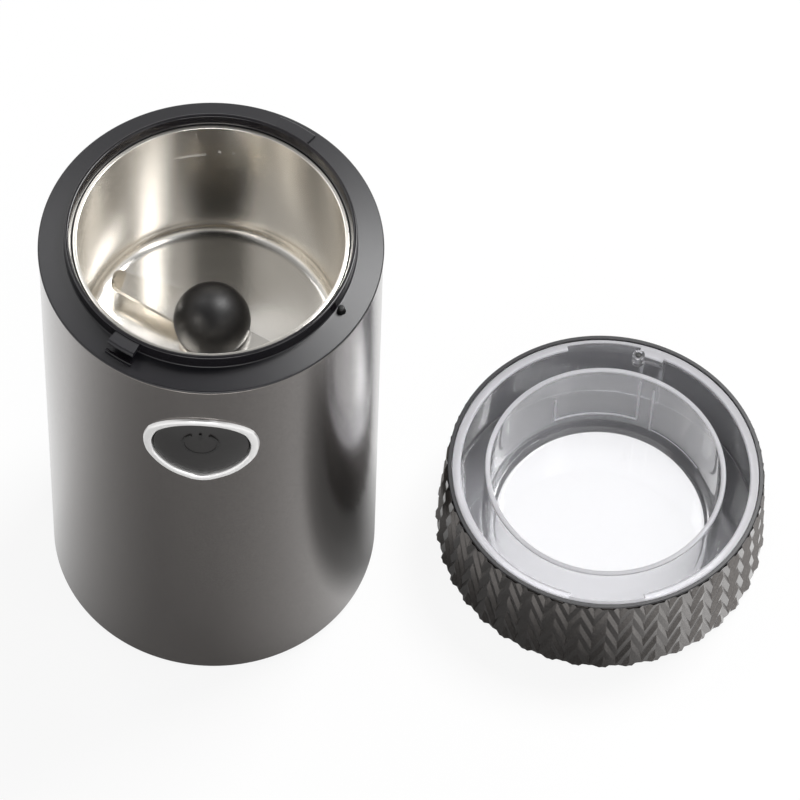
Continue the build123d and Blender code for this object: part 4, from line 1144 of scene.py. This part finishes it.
# Each line: the angles round the lid and the heights between which it runs.
WALL_LINES = (
    (73.5, 115.8, 8.0, 8.0 + LINE_MM),
    (115.8, 115.8 + LINE_TURN, 8.0, 19.0),
    (73.5 - LINE_TURN, 73.5, 8.0, cover_rim - 2.0),
    (65.0, 65.0 + LINE_TURN, 5.0, cover_rim - 4.0),
    (32.0, 65.0, 5.0, 5.0 + LINE_MM),
)
for first, last, low, high in WALL_LINES:
    cover = combine(cover, sector([
        (WALL_IN - LINE_PROUD, low, 0), (WALL_IN + LINE_ROOT, low, 0), (WALL_IN + LINE_ROOT, high, 0),
        (WALL_IN - LINE_PROUD, high, 0),
    ], (first + last) / 2, last - first), "UNION")
peg_turn = math.radians(PEG_ANGLE)
peg_spot = Vector((math.cos(peg_turn), math.sin(peg_turn))) * pin_ring + lid_axis
bmesh.ops.translate(cover, verts=cover.verts, vec=(LID_X, LID_Y, 0))
LINES_LOW, LINES_HIGH = plate_top + STEP_H + 1.0, cover_rim - 0.5
LINE_CLEAR = 0.05       # a face this far inside the wall belongs to a line
ETCHED_DEPTH, ETCHED_TILT = 0.6, -0.2


def is_etched(face):
    """Whether a face of the cover is milky: the fine lines, and the rims but for the boss round the peg."""
    spot = face.calc_center_median()
    if (spot.xy - lid_axis).length < WALL_IN - LINE_CLEAR:
        return LINES_LOW < spot.z < LINES_HIGH
    on_rim = spot.z > cover_rim - ETCHED_DEPTH and face.normal.z > ETCHED_TILT
    return on_rim and (spot.xy - peg_spot).length > PEG_BOSS_R


finish_piece("lid_clear", cover, "lid", (clear, etched), "lid_cover", second=is_etched)

# %% [markdown]
# ## Finishes for the pieces that stay as the CAD made them
#
# The motor, the switches and the base are right as they are. They hide inside, but the model can be opened in
# a viewer, so each gets the finish of its real material: plated steel, enamelled copper, turned brass and so
# on. The record names a material slot for each node, and the node's own material carries that name.

# %% Metals and plastics of the inner parts
METAL_GRAIN, PLASTIC_GRAIN = 0.003, 0.005       # how high the grain stands, in millimetres


def plain(name, colour, rough_low, rough_high, grain_mm, metal=False):
    """A finish of one colour, with a roughness that wanders at the size of its grain."""
    kind = {"Metallic": 1.0} if metal else {"IOR": 1.5}
    material, tree, shader = finish_named(name, {"Base Color": linear(colour), **kind})
    moulded_grain(tree, shader, grain_mm, METAL_GRAIN if metal else PLASTIC_GRAIN, rough_low, rough_high)
    return material


slot_finishes = {
    "coated_plastic": lacquer,
    "black_plastic": black_abs,
    "button_plastic": soft_touch,
    "bowl_steel": blade_steel,
    "blade_steel": blade_steel,
    "rubber": rubber,
    "chrome_ring": chrome,
    "clear_plastic": clear,
    "grip_plastic": band_lacquer,
    # Matt and nearly black, so the switches and brush holders stay quiet beside the metal.
    "switch_plastic": plain("black_moulded_nylon", "#26262a", 0.45, 0.6, 0.3),
    # Slippery and a little glossy, as a part that slides is.
    "pin_plastic": plain("black_acetal", "#141414", 0.3, 0.42, 0.4),
    # Cool grey with wide, soft lights from the zinc.
    "plain_steel": plain("zinc_plated_steel", "#b9bcbf", 0.3, 0.45, 0.8, metal=True),
    # Brighter than the plated steel, because drawing polishes the wire.
    "spring_steel": plain("drawn_spring_wire", "#a3a5a8", 0.22, 0.34, 0.3, metal=True),
    # Dull and dark, from the many cut edges of thin sheets.
    "core_iron": plain("laminated_core_iron", "#77787b", 0.4, 0.6, 0.5, metal=True),
    # Red-brown under varnish, the warmest colour inside.
    "copper": plain("enamelled_copper_wire", "#b4703f", 0.25, 0.4, 0.6, metal=True),
    # Yellow, with lights as soft as a turned surface has.
    "brass": plain("turned_brass", "#c5a45c", 0.25, 0.4, 0.4, metal=True),
    # The dullest piece: it sheds its own dust.
    "carbon": plain("pressed_carbon", "#1d1d1f", 0.5, 0.7, 0.4),
    # Green solder resist over the weave of the glass.
    "board_plastic": plain("glass_fibre_board", "#2f6b3b", 0.35, 0.5, 0.9),
    # A yellow box that stands out on the board.
    "capacitor_plastic": plain("capacitor_resin_box", "#caa227", 0.3, 0.4, 0.6),
}
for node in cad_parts.values():
    for slot in node.material_slots:
        slot.material = slot_finishes[slot.material.name.split(".")[0]]
print("finished nodes:", len(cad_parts))

# %% [markdown]
# ## The two return springs
#
# A spring under the interlock pin and one behind the button push them back. The CAD draws each as a plain
# sleeve. Here each is a coil: a small round section is spun about the spring's axis and lifted at every step,
# which makes a screw.

# %% Wind the springs
WIRE_MM = 0.45
COIL_STEPS = 20         # per turn
WIRE_SIDES = 8


def coil(radius, length, turns):
    """A coil spring along the Z axis, from 0 up to its length."""
    bm = bmesh.new()
    upright = Matrix.Translation((radius - WIRE_MM / 2, 0, WIRE_MM / 2)) @ Matrix.Rotation(math.pi / 2, 4, "X")
    bmesh.ops.create_circle(bm, cap_ends=True, radius=WIRE_MM / 2, segments=WIRE_SIDES, matrix=upright)
    steps = COIL_STEPS * turns
    bmesh.ops.spin(
        bm, geom=bm.faces[:], cent=(0, 0, 0), axis=(0, 0, 1), dvec=(0, 0, (length - WIRE_MM) / steps),
        angle=2 * math.pi * turns, steps=steps, use_merge=False,
    )
    bmesh.ops.recalc_face_normals(bm, faces=bm.faces)
    return bm


def return_spring(name, node, axis, turns):
    """Replaces a sleeve by a coil that lies along an axis."""
    low, high = box_mm(node)
    middle = (low + high) / 2
    along = axis.to_track_quat("Z", "Y").to_matrix()
    length = abs((high - low).dot(axis))
    foot = middle - axis * length / 2
    radius = max((high - low)[i] for i in range(3) if not axis[i]) / 2
    bm = coil(radius, length, turns)
    bmesh.ops.rotate(bm, verts=bm.verts, matrix=along)
    bmesh.ops.translate(bm, verts=bm.verts, vec=foot)
    piece = finish_piece(name, bm, "body", (slot_finishes["spring_steel"],), node)
    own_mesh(piece)


return_spring("interlock_coil", "interlock_spring", Vector((0, 0, 1)), 7)
return_spring("button_coil", "button_spring", Vector((0, -1, 0)), 3)

# %% [markdown]
# ## The studio
#
# The photograph was taken in a white tent: white table, white walls, a large soft lamp high behind on the right
# and a weak one on the left. The tent is open along a strip that runs overhead and towards the front, and that
# strip makes the dark bands in the steel bowl. The body is shiny, so most of what shows on it is the studio.
# The tent therefore dims towards its top, and the table has two patches of painted shadow that show only in
# reflections: one in front of the body and one at the lid's foot. The sky is white to the camera and dimmer as
# a light source, so it doesn't wash the colours out.

# %% Show a level only in reflections
def in_mirrors(tree, rays, level):
    """A colour that is a grey level in reflections, and white to the camera and through the clear plastic."""
    reflected = add(
        tree, "ShaderNodeMath", None,
        {0: rays.outputs["Is Glossy Ray"], 1: rays.outputs["Is Transmission Ray"]},
        operation="SUBTRACT", use_clamp=True,
    )
    shown = add(
        tree, "ShaderNodeMix", {MIX_A: (1, 1, 1, 1)}, {"Factor": reflected.outputs["Value"], MIX_B: level},
        data_type="RGBA",
    )
    return shown.outputs[MIX_OUT]


# %% Floor
FLOOR_HALF = 3.0
FLOOR_WHITE = 0.88      # how much of the floor's white is its own to the camera, which keeps shadows faint
FLOOR_MIRRORED = 0.75   # the same to reflections
# Each painted shadow, seen only in reflections: its middle, the direction that it lies in, the cosines between
# which it fades round about that direction, the radii in metres between which it fades outwards, and its level.
PAINTED_SHADOWS = (
    ((0, 0), (-0.17, -0.985), (0.15, 0.97), (0.15, 0.2), 0.2),
    ((LID_X * MM, LID_Y * MM), (-0.6, -0.8), (0.25, 0.8), (0.063, 0.080), 0.05),
)

floor_mesh = bpy.data.meshes.new("floor")
sheet = bmesh.new()
bmesh.ops.create_grid(sheet, x_segments=1, y_segments=1, size=FLOOR_HALF)
sheet.to_mesh(floor_mesh)
sheet.free()
floor = bpy.data.objects.new("floor", floor_mesh)
bpy.context.scene.collection.objects.link(floor)
paper, tree, shader = finish_named("white_paper_sweep", {"Base Color": linear("#f2f2f2"), "Roughness": 0.9})
rays = add(tree, "ShaderNodeLightPath")
seen = add(
    tree, "ShaderNodeMath", None, {0: rays.outputs["Is Camera Ray"], 1: rays.outputs["Is Transmission Ray"]},
    operation="MAXIMUM",
)
mirrored = add(
    tree, "ShaderNodeMath", {1: FLOOR_MIRRORED}, {0: rays.outputs["Is Glossy Ray"]}, operation="MULTIPLY"
)
share = add(
    tree, "ShaderNodeMath", {1: FLOOR_WHITE}, {0: seen.outputs["Value"], 2: mirrored.outputs["Value"]},
    operation="MULTIPLY_ADD",
)
where = add(tree, "ShaderNodeTexCoord")
painted_shadows = []
for middle, direction, round_edges, out_edges, depth in PAINTED_SHADOWS:
    centred = add(
        tree, "ShaderNodeVectorMath", {1: (*middle, 0)}, {0: where.outputs["Object"]}, operation="SUBTRACT"
    )
    out = add(tree, "ShaderNodeVectorMath", None, {0: centred.outputs["Vector"]}, operation="LENGTH")
    bearing = add(tree, "ShaderNodeVectorMath", None, {0: centred.outputs["Vector"]}, operation="NORMALIZE")
    turned = add(
        tree, "ShaderNodeVectorMath", {1: (*direction, 0)}, {0: bearing.outputs["Vector"]},
        operation="DOT_PRODUCT",
    )
    round_about = add(
        tree, "ShaderNodeMapRange",
        {"From Min": round_edges[0], "From Max": round_edges[1], "To Min": 1.0, "To Max": depth},
        {"Value": turned.outputs["Value"]},
    )
    outwards = add(
        tree, "ShaderNodeMapRange",
        {"From Min": out_edges[0], "From Max": out_edges[1], "To Min": depth, "To Max": 1.0},
        {"Value": out.outputs["Value"]}, interpolation_type="SMOOTHSTEP",
    )
    painted_shadows.append(add(
        tree, "ShaderNodeMath", None, {0: round_about.outputs["Result"], 1: outwards.outputs["Result"]},
        operation="MAXIMUM",
    ))
# Where the two painted shadows meet, the floor takes the darker of them.
painted_shadow = add(
    tree, "ShaderNodeMath", None, {0: painted_shadows[0].outputs["Value"], 1: painted_shadows[1].outputs["Value"]},
    operation="MINIMUM",
)
shown = in_mirrors(tree, rays, painted_shadow.outputs["Value"])
glow = add(tree, "ShaderNodeEmission", {"Strength": 1.0}, {"Color": shown})
mixed = add(tree, "ShaderNodeMixShader", None, {
    0: share.outputs["Value"], 1: shader.outputs["BSDF"], 2: glow.outputs["Emission"]
})
tree.links.new(mixed.outputs["Shader"], tree.nodes["Material Output"].inputs["Surface"])
floor_mesh.materials.append(paper)

# %% Sky
SKY_LIGHT = 0.32
GAP_MIDDLE = (-0.03, 0, 0)
GAP_SIDES = (0.13, 0.36)        # the gap's darkness fades between these distances from its middle, sideways,
GAP_BACK = (0.28, 0.5)          # backwards
GAP_FRONT = (0.75, 0.5)         # and downwards in front
DOME_EDGES = (0.45, 0.92)       # the sines of the heights at which the tent begins to dim and is dimmest
DOME_LEVEL = 0.26

world = bpy.data.worlds.new("white_tent")
bpy.context.scene.world = world
world.use_nodes = True
tree = world.node_tree
sky = tree.nodes["Background"]
rays = add(tree, "ShaderNodeLightPath")
seen = add(
    tree, "ShaderNodeMath", None, {0: rays.outputs["Is Camera Ray"], 1: rays.outputs["Is Glossy Ray"]},
    operation="MAXIMUM",
)
seen = add(
    tree, "ShaderNodeMath", None, {0: seen.outputs["Value"], 1: rays.outputs["Is Transmission Ray"]},
    operation="MAXIMUM",
)
level = add(tree, "ShaderNodeMapRange", {"To Min": SKY_LIGHT, "To Max": 1.0}, {"Value": seen.outputs["Value"]})
where = add(tree, "ShaderNodeTexCoord")
middled = add(
    tree, "ShaderNodeVectorMath", {1: GAP_MIDDLE}, {0: where.outputs["Generated"]}, operation="SUBTRACT"
)
axes = add(tree, "ShaderNodeSeparateXYZ", None, {"Vector": middled.outputs["Vector"]})
sideways = add(tree, "ShaderNodeMath", None, {0: axes.outputs["X"]}, operation="ABSOLUTE")
fades = [
    add(
        tree, "ShaderNodeMapRange", {"From Min": edges[0], "From Max": edges[1]}, {"Value": source},
        interpolation_type="SMOOTHSTEP",
    )
    for edges, source in (
        (GAP_SIDES, sideways.outputs["Value"]), (GAP_BACK, axes.outputs["Y"]), (GAP_FRONT, axes.outputs["Z"]),
    )
]
gap = add(
    tree, "ShaderNodeMath", None, {0: fades[0].outputs["Result"], 1: fades[1].outputs["Result"]},
    operation="MAXIMUM",
)
gap = add(
    tree, "ShaderNodeMath", None, {0: gap.outputs["Value"], 1: fades[2].outputs["Result"]}, operation="MAXIMUM"
)
upwards = add(
    tree, "ShaderNodeVectorMath", {1: (0, 0, 1)}, {0: where.outputs["Generated"]}, operation="DOT_PRODUCT"
)
dome = add(
    tree, "ShaderNodeMapRange",
    {"From Min": DOME_EDGES[0], "From Max": DOME_EDGES[1], "To Min": 1.0, "To Max": DOME_LEVEL},
    {"Value": upwards.outputs["Value"]}, interpolation_type="SMOOTHSTEP",
)
tent = add(
    tree, "ShaderNodeMath", None, {0: gap.outputs["Value"], 1: dome.outputs["Result"]}, operation="MULTIPLY"
)
tree.links.new(in_mirrors(tree, rays, tent.outputs["Value"]), sky.inputs["Color"])
tree.links.new(level.outputs["Result"], sky.inputs["Strength"])


# %% Lamps
def softbox(name, spot, aim, size, watts):
    """A rectangular area lamp that looks at a point. Places are in metres."""
    data = bpy.data.lights.new(name, "AREA")
    data.shape = "RECTANGLE"
    data.size, data.size_y = size
    data.energy = watts
    lamp = bpy.data.objects.new(name, data)
    lamp.location = spot
    lamp.rotation_euler = (Vector(aim) - Vector(spot)).to_track_quat("-Z", "Y").to_euler()
    bpy.context.scene.collection.objects.link(lamp)
    return lamp


# A strong key high behind on the right, a weak fill behind on the left, a weak strip at the right front, and a
# low card in front.
softbox("key_softbox", (0.5, 0.5, 1.12), (0.05, 0, 0.08), (0.5, 0.5), 13.0)
softbox("fill_softbox", (-0.42, 0.5, 1.0), (0.03, 0, 0.1), (0.4, 0.4), 1.5)
softbox("side_strip", (0.55, -0.34, 1.0), (0.03, 0, 0.1), (0.2, 0.5), 0.8)
softbox("front_card", (0.05, -1.0, 0.42), (0.05, 0, 0.1), (0.8, 0.25), 3.5)

bpy.context.scene.view_settings.view_transform = "Standard"
